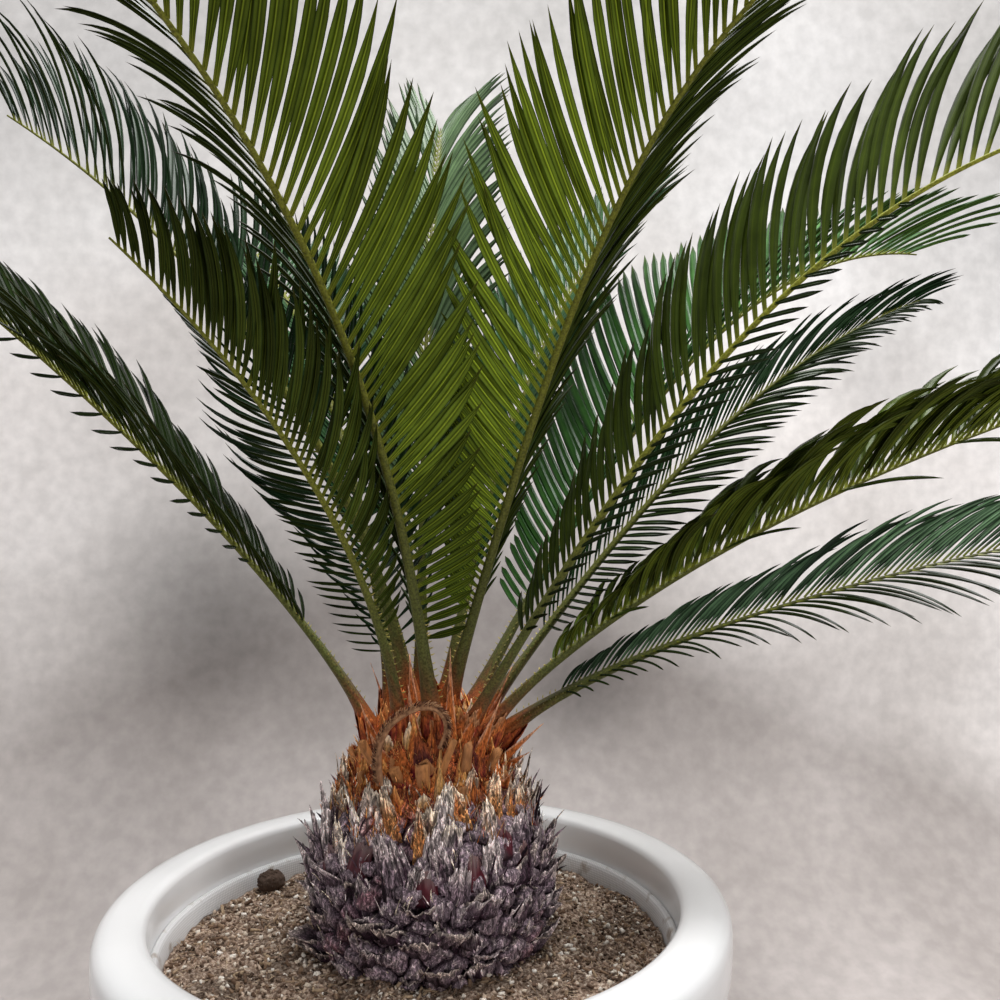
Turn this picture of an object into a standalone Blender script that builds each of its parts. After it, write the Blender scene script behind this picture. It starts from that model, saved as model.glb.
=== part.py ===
"""Potted sago palm: a round glossy planter with a liner, soil, one armoured trunk and its fronds.

Frame: the planter stands on its flat base with the base centre at the origin. +Z is up and -Y is
the front, the side with the widest gap between the fronds. Lengths are in metres.
"""

import math

import bmesh
import bpy
from mathutils import Vector, noise

# ---------------------------------------------------------------- driving sizes
RIM_HEIGHT = 0.280          # floor to the top of the rim
RIM_RADIUS = 0.195
MOUTH_RADIUS = 0.1636       # inner edge of the broad rim
LINER_DROP = 0.027          # how far the liner's lip hangs below the rim
GAP = 0.0003                # between pieces that only touch
TRUNK_X = 0.008             # the trunk stands a little off the planter's centre
SCALES_ROUND = 20           # leaf-base scales in one turn of the trunk
TURN_STEPS = 44             # sides of the turned planter, liner and soil

# Trunk outline as (height above the rim, radius) in mm, without the scales.
BURIED = [(-74, 26), (-66, 45), (-54, 58), (-42, 65)]
ARMOUR = [(-31, 69), (-22, 72), (-12, 75), (-1, 77), (11, 78), (23, 77), (36, 74),
          (49, 70), (62, 64), (75, 57), (87, 50)]
DOME = [(97, 44), (106, 36), (113, 26), (118, 14)]
TRUNK_TOP = 120

# Each frond: base point on the crown (x, y from the trunk axis, mm), heading (degrees, 0 = +X,
# 90 = +Y) and how far it sweeps round, rise of the petiole and of the tip (degrees), how late it
# bends, length (mm), roll about its midrib (degrees), longest leaflet (mm), bare part at the foot.
FRONDS = {
    "frond_left_low": (-33, -4, 174, 0, 77, 38, 0.25, 480, 0, 100, 0.17),
    "frond_front_left": (-17, -24, -142, 0, 87, 38, 0.67, 335, 0, 82, 0.24),
    "frond_left_high": (-12, 2, 163, 0, 86, 33, 0.7, 510, 0, 100, 0.2),
    "frond_front_left_tall": (3, -28, -128, 0, 80, 18, 1.4, 540, 0, 120, 0.13),
    "frond_front_right_tall": (8, -9, -42, 0, 69, 5, 3.4, 540, 0, 120, 0.13),
    "frond_right_tall": (18, -24, -24, 0, 57, -11, 2.7, 560, 22, 120, 0.13),
    "frond_right_inner": (29, 3, 6.5, 0, 51.5, 18.5, 2.1, 434, -4, 72, 0.17),
    "frond_right_middle": (30, -15, 2, 0, 61, 15, 0.31, 530, 10, 82, 0.12),
    "frond_right_low": (40, -2, -15, 0, 53.5, 7.5, 0.28, 520, 0, 90, 0.1),
    "frond_back_right": (23, 19, 39, -38, 52, -5, 3.6, 543, 0, 84, 0.15),
    "frond_back_upright": (9, 14, 50, 0, 72, 36, 1.3, 440, 0, 90, 0.2),
    "frond_back_centre": (-5, 18, 82, 0, 85, 48, 1.5, 470, 0, 90, 0.2),
    "frond_back_left": (-22, 17, 118, 0, 78, 28, 1.0, 470, 0, 90, 0.2),
}
STATIONS = 20               # leaflet pairs on a frond

# Pointed scale leaves between the petioles: base x, y (mm), heading, rise (degrees), length (mm).
SCALE_LEAVES = {
    "scale_leaf_1": (12, -36, 150, 82, 62),
    "scale_leaf_2": (-8, -36, 110, 86, 40),
    "scale_leaf_3": (27, -35, 4, 63, 44),
    "scale_leaf_4": (44, -16, -10, 50, 34),
    "scale_leaf_5": (-33, -20, 170, 76, 30),
    "scale_leaf_6": (-10, -10, 100, 88, 42),
}

# Cut petiole stubs round the shoulder: bearing and height of the foot (mm), heading, rise
# (degrees), length and width (mm).
STUBS = {
    "cut_stub_1": (-95, 74, -100, 72, 16, 10),
    "cut_stub_2": (-88, 76, -30, 66, 30, 5),
    "cut_stub_3": (-113, 77, -116, 57, 12, 8),
    "cut_stub_4": (-42, 79, -40, 60, 15, 8),
    "cut_stub_5": (-138, 83, -150, 62, 18, 8),
    "cut_stub_6": (-66, 75, -62, 76, 25, 7),
    "cut_stub_7": (120, 90, 120, 55, 20, 9),
    "cut_stub_8": (60, 90, 60, 55, 20, 9),
}

# The dead curled frond arching over the front: points in mm from the trunk axis and the rim.
WITHERED_LINE = [(-30, -44, 80), (-31, -48, 92), (-30, -51, 105), (-25, -53, 116),
                 (-17, -54, 123), (-8, -54, 127), (2, -53, 126.5), (8, -51, 120), (9, -49, 111),
                 (5, -46, 101)]


# ---------------------------------------------------------------- helpers
def fresh_collection(name, hidden=False):
    made = bpy.data.collections.new(name)
    bpy.context.scene.collection.children.link(made)
    made.hide_render = hidden
    return made


def material(name, colour, roughness, metallic=0.0):
    made = bpy.data.materials.new(name)
    made.use_nodes = True
    shader = made.node_tree.nodes["Principled BSDF"]
    shader.inputs["Base Color"].default_value = (*colour, 1.0)
    shader.inputs["Roughness"].default_value = roughness
    shader.inputs["Metallic"].default_value = metallic
    made.diffuse_color = (*colour, 1.0)
    return made


def add_object(name, bm, look=None, smooth=False, where=None):
    bmesh.ops.recalc_face_normals(bm, faces=bm.faces)
    mesh = bpy.data.meshes.new(name)
    bm.to_mesh(mesh)
    bm.free()
    obj = bpy.data.objects.new(name, mesh)
    (where or palm).objects.link(obj)
    if look:
        mesh.materials.append(look)
    if smooth:
        mesh.polygons.foreach_set("use_smooth", [True] * len(mesh.polygons))
    return obj


def turned(name, outline, look, steps=TURN_STEPS):
    """A body of revolution. The outline (radius, height in mm) runs down the outer side."""
    bm = bmesh.new()
    points = [bm.verts.new((r / 1000, 0, z / 1000)) for r, z in outline]
    for one, other in zip(points, points[1:]):
        bm.edges.new((one, other))
    mesh = bpy.data.meshes.new(name)
    bm.to_mesh(mesh)
    bm.free()
    obj = bpy.data.objects.new(name, mesh)
    palm.objects.link(obj)
    mesh.materials.append(look)
    screw = obj.modifiers.new("Turn", "SCREW")
    screw.steps = screw.render_steps = steps
    screw.use_merge_vertices = True
    screw.merge_threshold = 0.0001
    screw.use_smooth_shade = True
    return obj


def cut(obj, cutter, name="Cut"):
    step = obj.modifiers.new(name, "BOOLEAN")
    step.operation = "DIFFERENCE"
    step.solver = "EXACT"
    step.object = cutter
    return step


def swollen_copy(obj, name, by):
    """The same body grown outwards, to cut its seat in a neighbour."""
    made = bpy.data.objects.new(name, obj.data)
    cutters.objects.link(made)
    grow = made.modifiers.new("Grow", "DISPLACE")
    grow.direction = "NORMAL"
    grow.mid_level = 0.0
    grow.strength = by
    made.hide_render = True
    made.display_type = "WIRE"
    return made


def ring_faces(bm, low, high):
    count = len(low)
    for i in range(count):
        j = (i + 1) % count
        bm.faces.new((low[i], low[j], high[j], high[i]))


# ---------------------------------------------------------------- planter and liner
def rim(drop):
    """A height in mm given as a drop below the top of the rim."""
    return RIM_HEIGHT * 1000 - drop


def planter():
    mouth, outer = MOUTH_RADIUS * 1000, RIM_RADIUS * 1000
    outline = [
        (0, rim(268)), (113, rim(268)), (125.5, rim(225)), (136.5, rim(180)), (150, rim(130)),
        (157, rim(80)), (160.2, rim(27)), (mouth, rim(27)), (mouth, rim(3)),
        (mouth + 2.6, rim(0.6)), (mouth + 8, 280), (outer - 9, rim(1.2)), (outer - 2.5, rim(5)),
        (outer, rim(12)), (outer, rim(28)), (outer - 3, rim(44)), (outer - 9, rim(62)),
        (outer - 20, rim(92)), (160, rim(140)), (145, rim(190)), (132, rim(240)),
        (124, rim(272)), (120, rim(278)), (117, 0), (0, 0),
    ]
    return turned("planter", outline, glaze)


def liner():
    hang = LINER_DROP * 1000
    outline = [
        (0, rim(231)), (114, rim(231)), (119.5, rim(225)), (133, rim(180)), (147, rim(130)),
        (154, rim(80)), (157, rim(hang + 6)), (158.5, rim(hang - 1)), (160.2, rim(hang - 3)),
        (162.4, rim(hang - 2.6)), (163.25, rim(hang - 1.6)), (163.25, rim(hang - 0.3)),
        (159.8, rim(hang - 0.3)), (159.4, rim(40)), (156.6, rim(80)), (149.6, rim(130)),
        (135.6, rim(180)), (122, rim(228)), (118, rim(234)), (0, rim(234)),
    ]
    return turned("liner", outline, liner_plastic)


# ---------------------------------------------------------------- trunk
def trunk():
    """Trunk grown in one piece: buried foot, spiral of leaf-base scales, woolly crown dome."""
    bm = bmesh.new()
    step = 2 * math.pi / SCALES_ROUND
    rings = []
    outline = BURIED + ARMOUR + DOME
    first_scale, last_scale = len(BURIED), len(BURIED) + len(ARMOUR) - 1
    for k, (z, r) in enumerate(outline):
        shift = 0.5 * (k % 2)
        ring = []
        for j in range(SCALES_ROUND):
            a = (j + shift) * step
            ring.append(bm.verts.new((r / 1000 * math.cos(a), r / 1000 * math.sin(a), z / 1000)))
        rings.append(ring)

    def pair(k, j):
        """The vertex of ring k between verts j and j+1 of its neighbours."""
        return rings[k][(j + (0 if k % 2 else 1)) % SCALES_ROUND]

    for k in range(len(rings) - 1):
        low, high = rings[k], rings[k + 1]
        for j in range(SCALES_ROUND):
            n = (j + 1) % SCALES_ROUND
            up = (low[j], low[n], high[(j + k % 2) % SCALES_ROUND])
            down = (high[j], low[(j + 1 - k % 2) % SCALES_ROUND], high[n])
            if not first_scale < k < last_scale:
                bm.faces.new(up)
            if not first_scale < k + 1 < last_scale:
                bm.faces.new(down)
    for k in range(first_scale + 1, last_scale):
        height = (outline[k][0] - ARMOUR[0][0]) / (ARMOUR[-1][0] - ARMOUR[0][0])
        for j in range(SCALES_ROUND):
            left, right = rings[k][j], rings[k][(j + 1) % SCALES_ROUND]
            above = rings[k + 1][(j + k % 2) % SCALES_ROUND]
            below = rings[k - 1][(j + k % 2) % SCALES_ROUND]
            middle = (left.co + right.co + above.co + below.co) / 4
            wobble = noise.noise(middle * 60 + Vector((3, 7, 1)))
            out = Vector((middle.x, middle.y, 0)).normalized()
            out_by = 0.0065 + 0.002 * height + 0.003 * wobble
            up_by = 0.002 + 0.009 * height + 0.003 * wobble
            if k == last_scale - 1:
                out_by, up_by = 0.004, 0.003
            peak = bm.verts.new(middle + out * out_by + Vector((0, 0, up_by)))
            for one, other in ((below, right), (right, above), (above, left), (left, below)):
                bm.faces.new((one, other, peak))
    bottom = bm.verts.new((0, 0, -0.078))
    top = bm.verts.new((0, 0, TRUNK_TOP / 1000))
    for j in range(SCALES_ROUND):
        n = (j + 1) % SCALES_ROUND
        bm.faces.new((rings[0][n], rings[0][j], bottom))
        bm.faces.new((rings[-1][j], rings[-1][n], top))
    bmesh.ops.translate(bm, verts=bm.verts, vec=(TRUNK_X, 0, RIM_HEIGHT))
    return add_object("trunk", bm, bark)


def dome_height(radius):
    """Height of the trunk's top above the rim (mm) at this distance from its axis."""
    outline = [(TRUNK_TOP, 0)] + DOME[::-1] + ARMOUR[::-1]
    for (z1, r1), (z2, r2) in zip(outline, outline[1:]):
        if radius <= r2:
            return z1 + (z2 - z1) * (radius - r1) / (r2 - r1)
    return outline[-1][0]


def crown_point(x, y, sunk=7.0):
    """A point (m) this far below the crown's surface, over x, y in mm from the trunk axis."""
    z = dome_height(math.hypot(x, y)) - sunk
    return Vector((TRUNK_X + x / 1000, y / 1000, RIM_HEIGHT + z / 1000))


# ---------------------------------------------------------------- soil
def soil():
    """Potting soil filling the liner, its top heaped a little towards the trunk."""
    sides = TURN_STEPS
    wall = [(113.8, 230.7), (119.1, 225), (132.6, 180), (146.6, 130), (153.6, 80), (156, 42)]
    heap = [(154, 36.5), (140, 35), (124, 34), (108, 33), (92, 32), (76, 32), (50, 34)]
    bm = bmesh.new()
    rings = []
    for number, (r, drop) in enumerate(wall + heap):
        ring = []
        for j in range(sides):
            a = 2 * math.pi * j / sides
            spot = Vector((r * math.cos(a), r * math.sin(a), rim(drop))) / 1000
            if number >= len(wall):
                spot.z += 0.0035 * noise.noise(spot * 26) + 0.0022 * noise.noise(spot * 75)
            ring.append(bm.verts.new(spot))
        rings.append(ring)
    for low, high in zip(rings, rings[1:]):
        ring_faces(bm, low, high)
    bm.faces.new(rings[0][::-1])
    bm.faces.new(rings[-1])
    return add_object("soil", bm, earth)


def soil_clod():
    bm = bmesh.new()
    bmesh.ops.create_icosphere(bm, subdivisions=2, radius=0.0088)
    for vert in bm.verts:
        vert.co += vert.co.normalized() * 0.0016 * noise.noise(vert.co * 160)
    bmesh.ops.scale(bm, verts=bm.verts, vec=(1.15, 1.0, 0.85))
    bmesh.ops.translate(bm, verts=bm.verts, vec=(-0.106, 0.096, RIM_HEIGHT - 0.029))
    return add_object("soil_clod", bm, earth)


# ---------------------------------------------------------------- fronds
def frond_path(base, heading, sweep, rise, tip_rise, bend, length, steps):
    """Points and directions along a midrib that starts at the rise and arches to the tip rise."""
    def way_at(t):
        around = math.radians(heading + sweep * t)
        slope = math.radians(rise + (tip_rise - rise) * t ** bend)
        return Vector((math.cos(around) * math.cos(slope), math.sin(around) * math.cos(slope),
                       math.sin(slope)))

    here = base.copy()
    points, ways = [], []
    for i in range(steps + 1):
        points.append(here.copy())
        ways.append(way_at(i / steps))
        here = here + way_at((i + 0.5) / steps) * (length / steps)
    return points, ways


def leaflet_reach(u):
    """Leaflet length along the blade as a share of the longest."""
    grow = min(1.0, 0.2 + 2.0 * u)
    fade = 1.0 if u < 0.6 else 1.0 - 0.62 * ((u - 0.6) / 0.4) ** 1.5
    return grow * fade


def frond(name, x, y, heading, sweep, rise, tip_rise, bend, length, roll, longest, bare):
    base = crown_point(x, y)
    fine = 200
    points, ways = frond_path(base, heading, sweep, rise, tip_rise, bend, length / 1000, fine)
    stops = [0.0, 0.4 * bare, bare * 0.8]
    stops += [bare + (0.985 - bare) * k / STATIONS for k in range(STATIONS + 1)]
    turn = math.radians(roll)
    bm = bmesh.new()
    rings, frames = [], []
    for t in stops:
        i = min(fine, round(t * fine))
        spot, way = points[i], ways[i]
        side = Vector((way.y, -way.x, 0)).normalized()
        up = side.cross(way).normalized()
        across = side * math.cos(turn) + up * math.sin(turn)
        above = up * math.cos(turn) - side * math.sin(turn)
        half = 0.0066 * (1 - t) ** 0.8 * (0.62 + 0.38 * math.exp(-t * 12)) + 0.0011
        ring = [bm.verts.new(spot + across * half), bm.verts.new(spot + above * half * 0.8),
                bm.verts.new(spot - across * half), bm.verts.new(spot - above * half)]
        rings.append(ring)
        frames.append((spot, way, across, above))
    end = bm.verts.new(points[-1])
    for j in range(4):
        bm.faces.new((rings[-1][j], rings[-1][(j + 1) % 4], end))
    bm.faces.new(rings[0][::-1])
    blades = []
    for k, (low, high) in enumerate(zip(rings, rings[1:])):
        for j in range(4):
            n = (j + 1) % 4
            face = bm.faces.new((low[j], low[n], high[n], high[j]))
            if k >= 3 and j < 2:
                blades.append((k, j, low, high, face))
    for k, j, low, high, face in blades:
        spot, way, across, above = frames[k]
        u = (k - 3 + 0.5) / STATIONS
        reach = longest / 1000 * leaflet_reach(u)
        angle = math.radians(80 - 48 * u ** 0.8)
        fold = math.radians(38)
        away = (across if j == 0 else -across) * math.cos(fold) + above * math.sin(fold)
        along = way * math.cos(angle) + away * math.sin(angle)
        broad = (way - along * way.dot(along)).normalized()
        thin = along.cross(broad).normalized()
        if thin.dot(above) < 0:
            thin = -thin
        root = (low[0].co + low[1].co + high[0].co + high[1].co) / 4 if j == 0 else \
            (low[2].co + low[1].co + high[2].co + high[1].co) / 4
        spacing = length / 1000 * (0.985 - bare) / STATIONS
        width = min(0.011, spacing * math.sin(angle) * 0.72) * (0.75 + 0.25 * math.sin(math.pi * u))
        middle = root + along * reach * 0.45
        tip = root + along * reach + broad * reach * 0.1 - above * reach * 0.04
        spots = {
            low[1]: middle - broad * width / 2 + thin * 0.0005,
            high[1]: middle + broad * width / 2 + thin * 0.0005,
            low[0 if j == 0 else 2]: middle - broad * width / 2 - thin * 0.0005,
            high[0 if j == 0 else 2]: middle + broad * width / 2 - thin * 0.0005,
        }
        order = [vert for vert in face.verts]
        bm.faces.remove(face)
        cap = [bm.verts.new(spots[vert]) for vert in order]
        point = bm.verts.new(tip)
        for i in range(4):
            n = (i + 1) % 4
            bm.faces.new((order[i], order[n], cap[n], cap[i]))
            bm.faces.new((cap[i], cap[n], point))
    obj = add_object(name, bm, leaf)
    cut(obj, trunk_clearance, "Seat")
    return obj


# ---------------------------------------------------------------- crown pieces
def spike(name, base, way, length, wide, thick, look, blunt=0.0, curl=0.0):
    """A tapering four-sided tongue from base; blunt keeps part of its width at a cut end."""
    bm = bmesh.new()
    way = way.normalized()
    across = way.cross(Vector((0, 0, 1))).normalized()
    over = across.cross(way).normalized()
    rings = []
    for t in (0.0, 0.35, 0.7, 1.0):
        size = 1 - (1 - blunt) * t
        if t == 1.0 and blunt == 0.0:
            break
        spot = base + way * length * t + over * length * curl * t * t
        rings.append([bm.verts.new(spot + across * wide * size + over * length * 0.12 * blunt * t),
                      bm.verts.new(spot + over * thick * size),
                      bm.verts.new(spot - across * wide * size - over * length * 0.12 * blunt * t),
                      bm.verts.new(spot - over * thick * size)])
    for low, high in zip(rings, rings[1:]):
        ring_faces(bm, low, high)
    bm.faces.new(rings[0][::-1])
    if blunt:
        bm.faces.new(rings[-1])
    else:
        point = bm.verts.new(base + way * length + over * length * curl)
        for j in range(4):
            bm.faces.new((rings[-1][j], rings[-1][(j + 1) % 4], point))
    obj = add_object(name, bm, look)
    cut(obj, trunk_clearance, "Seat")
    return obj


def scale_leaf(name, x, y, heading, rise, length):
    a, e = math.radians(heading), math.radians(rise)
    way = Vector((math.cos(a) * math.cos(e), math.sin(a) * math.cos(e), math.sin(e)))
    spike(name, crown_point(x, y, 5), way, length / 1000 + 0.005, 0.0042, 0.0016, rust, curl=0.05)


def cut_stub(name, bearing, height, heading, rise, length, wide):
    a, b, e = math.radians(bearing), math.radians(heading), math.radians(rise)
    radius = next(r + (q - r) * (height - z) / (w - z)
                  for (z, r), (w, q) in zip(ARMOUR + DOME, (ARMOUR + DOME)[1:]) if height <= w)
    base = Vector((TRUNK_X, 0, RIM_HEIGHT + height / 1000)) \
        + Vector((math.cos(a), math.sin(a), 0)) * (radius / 1000 - 0.006)
    way = Vector((math.cos(b) * math.cos(e), math.sin(b) * math.cos(e), math.sin(e)))
    spike(name, base, way, length / 1000 + 0.006, wide / 2000, wide / 3000, straw, blunt=0.85)


def withered_frond():
    """A dead, curled young frond arching over the front of the crown."""
    bm = bmesh.new()
    line = [Vector((TRUNK_X + x / 1000, y / 1000, RIM_HEIGHT + z / 1000))
            for x, y, z in WITHERED_LINE]
    spots = []
    for i in range(len(line) - 1):
        a, b, c, d = (line[max(0, min(len(line) - 1, i + k))] for k in (-1, 0, 1, 2))
        for f in (0.0, 0.5):
            spots.append(0.5 * (2 * b + (c - a) * f + (2 * a - 5 * b + 4 * c - d) * f * f
                                + (3 * b - a - 3 * c + d) * f ** 3))
    spots.append(line[-1])
    made = []
    for i, spot in enumerate(spots):
        way = (spots[min(len(spots) - 1, i + 1)] - spots[max(0, i - 1)]).normalized()
        across = way.cross(Vector((0, 1, 0))).normalized()
        over = across.cross(way).normalized()
        half = 0.0024 - 0.0011 * i / len(spots)
        made.append([bm.verts.new(spot + across * half), bm.verts.new(spot + over * half),
                     bm.verts.new(spot - across * half), bm.verts.new(spot - over * half)])
    for low, high in zip(made, made[1:]):
        ring_faces(bm, low, high)
    bm.faces.new(made[0][::-1])
    bm.faces.new(made[-1])
    obj = add_object("withered_frond", bm, straw)
    cut(obj, trunk_clearance, "Seat")
    return obj


# ---------------------------------------------------------------- build
for old in list(bpy.data.objects):
    bpy.data.objects.remove(old, do_unlink=True)
palm = fresh_collection("potted_sago_palm")
cutters = fresh_collection("cutters", hidden=True)

glaze = material("glossy_white", (0.86, 0.86, 0.86), 0.12)
liner_plastic = material("liner_grey", (0.62, 0.62, 0.64), 0.5)
earth = material("potting_soil", (0.09, 0.06, 0.045), 0.95)
bark = material("armoured_bark", (0.13, 0.10, 0.11), 0.8)
leaf = material("leaf_green", (0.07, 0.16, 0.04), 0.4)
rust = material("rust_scale_leaf", (0.5, 0.2, 0.07), 0.8)
straw = material("cut_stub_straw", (0.45, 0.27, 0.1), 0.8)

planter()
liner()
trunk_body = trunk()
trunk_clearance = swollen_copy(trunk_body, "trunk_clearance", GAP * 1.25)
ground = soil()
clod = soil_clod()
cut(ground, trunk_clearance, "Trunk pocket")
cut(ground, swollen_copy(clod, "clod_clearance", GAP * 1.2), "Clod pocket")
for name, values in FRONDS.items():
    frond(name, *values)
for name, values in SCALE_LEAVES.items():
    scale_leaf(name, *values)
for name, values in STUBS.items():
    cut_stub(name, *values)
withered_frond()
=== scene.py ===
import math
import random

import bpy
from mathutils import Matrix, Vector, noise


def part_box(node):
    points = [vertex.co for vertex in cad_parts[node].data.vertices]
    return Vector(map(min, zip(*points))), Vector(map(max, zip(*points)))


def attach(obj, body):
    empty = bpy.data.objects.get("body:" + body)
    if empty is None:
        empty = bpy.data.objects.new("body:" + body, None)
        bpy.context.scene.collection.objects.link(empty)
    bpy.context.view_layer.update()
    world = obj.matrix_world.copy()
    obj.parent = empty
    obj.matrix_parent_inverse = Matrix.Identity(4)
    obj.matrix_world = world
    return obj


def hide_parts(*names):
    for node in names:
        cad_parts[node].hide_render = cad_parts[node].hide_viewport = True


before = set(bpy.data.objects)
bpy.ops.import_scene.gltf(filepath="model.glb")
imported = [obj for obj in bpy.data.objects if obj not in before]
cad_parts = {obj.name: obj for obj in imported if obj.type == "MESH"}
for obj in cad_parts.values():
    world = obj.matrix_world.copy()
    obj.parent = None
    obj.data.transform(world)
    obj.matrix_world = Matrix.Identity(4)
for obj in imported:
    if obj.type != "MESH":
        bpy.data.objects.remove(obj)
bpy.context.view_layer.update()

print("frame loaded:", len(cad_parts), "nodes")

mm = 0.001
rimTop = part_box("planter")[1].z
trunkLow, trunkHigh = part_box("trunk")
trunkAxis = Vector((round((trunkLow.x + trunkHigh.x) / 2, 3), 0, 0))
zUp = Vector((0, 0, 1))
goldenTurn = math.radians(137.508)


def blend(a, b, t):
    return a + (b - a) * t


def smooth(low, high, x):
    t = min(1.0, max(0.0, (x - low) / (high - low)))
    return t * t * (3 - 2 * t)


def follow(rows, x):
    # y at x on the straight stretches between the rows' points
    for (x1, y1), (x2, y2) in zip(rows, rows[1:]):
        if x <= x2:
            return blend(y1, y2, (x - x1) / (x2 - x1))
    return rows[-1][1]


def polar(bearing, radius=1.0, z=0.0):
    return Vector((math.cos(bearing) * radius, math.sin(bearing) * radius, z))


def ringAngles(count):
    return [2 * math.pi * k / count for k in range(count)]


def squareTo(way, out):
    # what is left of out when its part along way is taken off
    return (out - way * out.dot(way)).normalized()


def aim(heading, rise):
    a, e = math.radians(heading), math.radians(rise)
    return Vector((math.cos(a) * math.cos(e), math.sin(a) * math.cos(e), math.sin(e)))


def mixColour(a, b, t):
    t = min(1.0, max(0.0, t))
    return tuple(blend(x, y, t) for x, y in zip(a, b))


def wander(*where):
    return noise.noise(Vector(where))


def spun(a, b, angle):
    # two directions turned in their own plane, the first toward the second
    return a * math.cos(angle) + b * math.sin(angle), b * math.cos(angle) - a * math.sin(angle)


class Shape:
    # gathers points and faces by hand, then becomes one mesh object
    def __init__(self):
        self.points, self.faces, self.slots = [], [], []
        self.tints, self.places = [], []

    def point(self, where, tint=(1, 1, 1), place=(0, 0, 0)):
        self.points.append(where)
        self.tints.append((*tint, 1.0))
        self.places.append((*place, 1.0))
        return len(self.points) - 1

    def face(self, *corners, slot=0):
        self.faces.append(corners)
        self.slots.append(slot)

    def skin(self, low, high, slot=0):
        for i in range(len(low)):
            n = (i + 1) % len(low)
            self.face(low[i], low[n], high[n], high[i], slot=slot)

    def cap(self, ring, slot=0, flip=False):
        self.face(*(ring[::-1] if flip else ring), slot=slot)

    def grow(self, last, ring, slot=0):
        # joins a ring to the last one, or closes it where it is the first
        if last:
            self.skin(last, ring, slot)
        else:
            self.cap(ring, slot, flip=True)
        return ring

    def build(self, name, looks, crease=None):
        mesh = bpy.data.meshes.new(name)
        mesh.from_pydata(self.points, [], self.faces)
        for layer, values in (("tint", self.tints), ("place", self.places)):
            store = mesh.color_attributes.new(layer, "FLOAT_COLOR", "POINT")
            store.data.foreach_set("color", [v for row in values for v in row])
        for look in looks:
            mesh.materials.append(look)
        mesh.polygons.foreach_set("material_index", self.slots)
        mesh.polygons.foreach_set("use_smooth", [True] * len(mesh.polygons))
        if crease:
            mesh.set_sharp_from_angle(angle=math.radians(crease))
        mesh.update()
        made = bpy.data.objects.new(name, mesh)
        bpy.context.scene.collection.objects.link(made)
        return made


def keep(piece, slot, *nodes):
    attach(piece, "root")
    if nodes:
        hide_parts(*nodes)
    return piece


def newLook(name, roughness, specular=0.5):
    look = bpy.data.materials.new(name)
    look.use_nodes = True
    shader = look.node_tree.nodes["Principled BSDF"]
    shader.inputs["Roughness"].default_value = roughness
    shader.inputs["Specular IOR Level"].default_value = specular
    return look, look.node_tree, shader


def feed(tree, socket, value):
    # links a socket to another one, or sets it to a value
    if isinstance(value, bpy.types.NodeSocket):
        tree.links.new(value, socket)
    else:
        socket.default_value = value


def addNode(tree, kind, **settings):
    node = tree.nodes.new("ShaderNode" + kind)
    for key, value in settings.items():
        if key in node.inputs:
            feed(tree, node.inputs[key], value)
        else:
            setattr(node, key, value)
    return node


def objectPlace(tree):
    return addNode(tree, "TexCoord").outputs["Object"]


def mathOf(tree, operation, *values):
    node = addNode(tree, "Math", operation=operation)
    for socket, value in zip(node.inputs, values):
        feed(tree, socket, value)
    return node.outputs[0]


def rampOf(tree, source, stops):
    ramp = addNode(tree, "ValToRGB", Fac=source)
    marks = ramp.color_ramp.elements
    while len(marks) < len(stops):
        marks.new(0.5)
    for mark, (place, colour) in zip(marks, stops):
        mark.position = place
        mark.color = (*colour, 1.0)
    return ramp.outputs["Color"]


def grey(value):
    return (value, value, value)


def mixOf(tree, mode, amount, a, b):
    node = addNode(tree, "Mix", data_type="RGBA", blend_type=mode)
    for place, value in ((0, amount), (6, a), (7, b)):
        feed(tree, node.inputs[place], (*value, 1.0) if isinstance(value, tuple) else value)
    return node.outputs[2]


def timesOf(tree, a, b):
    return mixOf(tree, "MULTIPLY", 1.0, a, b)


def noiseOf(tree, scale, detail=4.0, stretch=None, twist=0.0):
    coords = objectPlace(tree)
    if stretch:
        coords = addNode(tree, "Mapping", Vector=coords, Scale=stretch).outputs["Vector"]
    return addNode(tree, "TexNoise", Vector=coords, Scale=scale, Detail=detail,
                   Distortion=twist).outputs["Fac"]


def bumpOf(tree, shader, height, distance, strength=1.0):
    bump = addNode(tree, "Bump", Strength=strength, Distance=distance, Height=height)
    feed(tree, shader.inputs["Normal"], bump.outputs["Normal"])


def storedColour(tree, name):
    return addNode(tree, "Attribute", attribute_name=name).outputs["Color"]


def glazedWhite():
    look, tree, shader = newLook("glazedWhite", 0.16)
    cloud = rampOf(tree, noiseOf(tree, 9.0, 3.0), [(0.3, grey(0.89)), (0.7, grey(0.92))])
    smear = rampOf(tree, noiseOf(tree, 40.0), [(0.3, grey(0.13)), (0.7, grey(0.24))])
    feed(tree, shader.inputs["Base Color"], cloud)
    feed(tree, shader.inputs["Roughness"], smear)
    shader.inputs["Coat Weight"].default_value = 0.25
    return look


def dottedLiner():
    # grey plastic with a fine grid of raised dots, laid round the wall
    look, tree, shader = newLook("dottedLiner", 0.55, 0.3)
    wallRadius = 0.158
    x, y, z = addNode(tree, "SeparateXYZ", Vector=objectPlace(tree)).outputs
    arc = mathOf(tree, "MULTIPLY", mathOf(tree, "ARCTAN2", y, x), wallRadius)
    grid = addNode(tree, "CombineXYZ", X=arc, Y=z)
    dots = addNode(tree, "TexVoronoi", Vector=grid.outputs[0], Scale=620.0,
                   Randomness=0.05).outputs["Distance"]
    pattern = rampOf(tree, dots, [(0.2, grey(0.86)), (0.5, grey(0.66))])
    dirt = rampOf(tree, noiseOf(tree, 70.0, 6.0), [(0.56, grey(1.0)), (0.72, (0.5, 0.42, 0.35))])
    feed(tree, shader.inputs["Base Color"], timesOf(tree, pattern, dirt))
    bumpOf(tree, shader, dots, 0.0004, 0.6)
    return look


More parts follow.
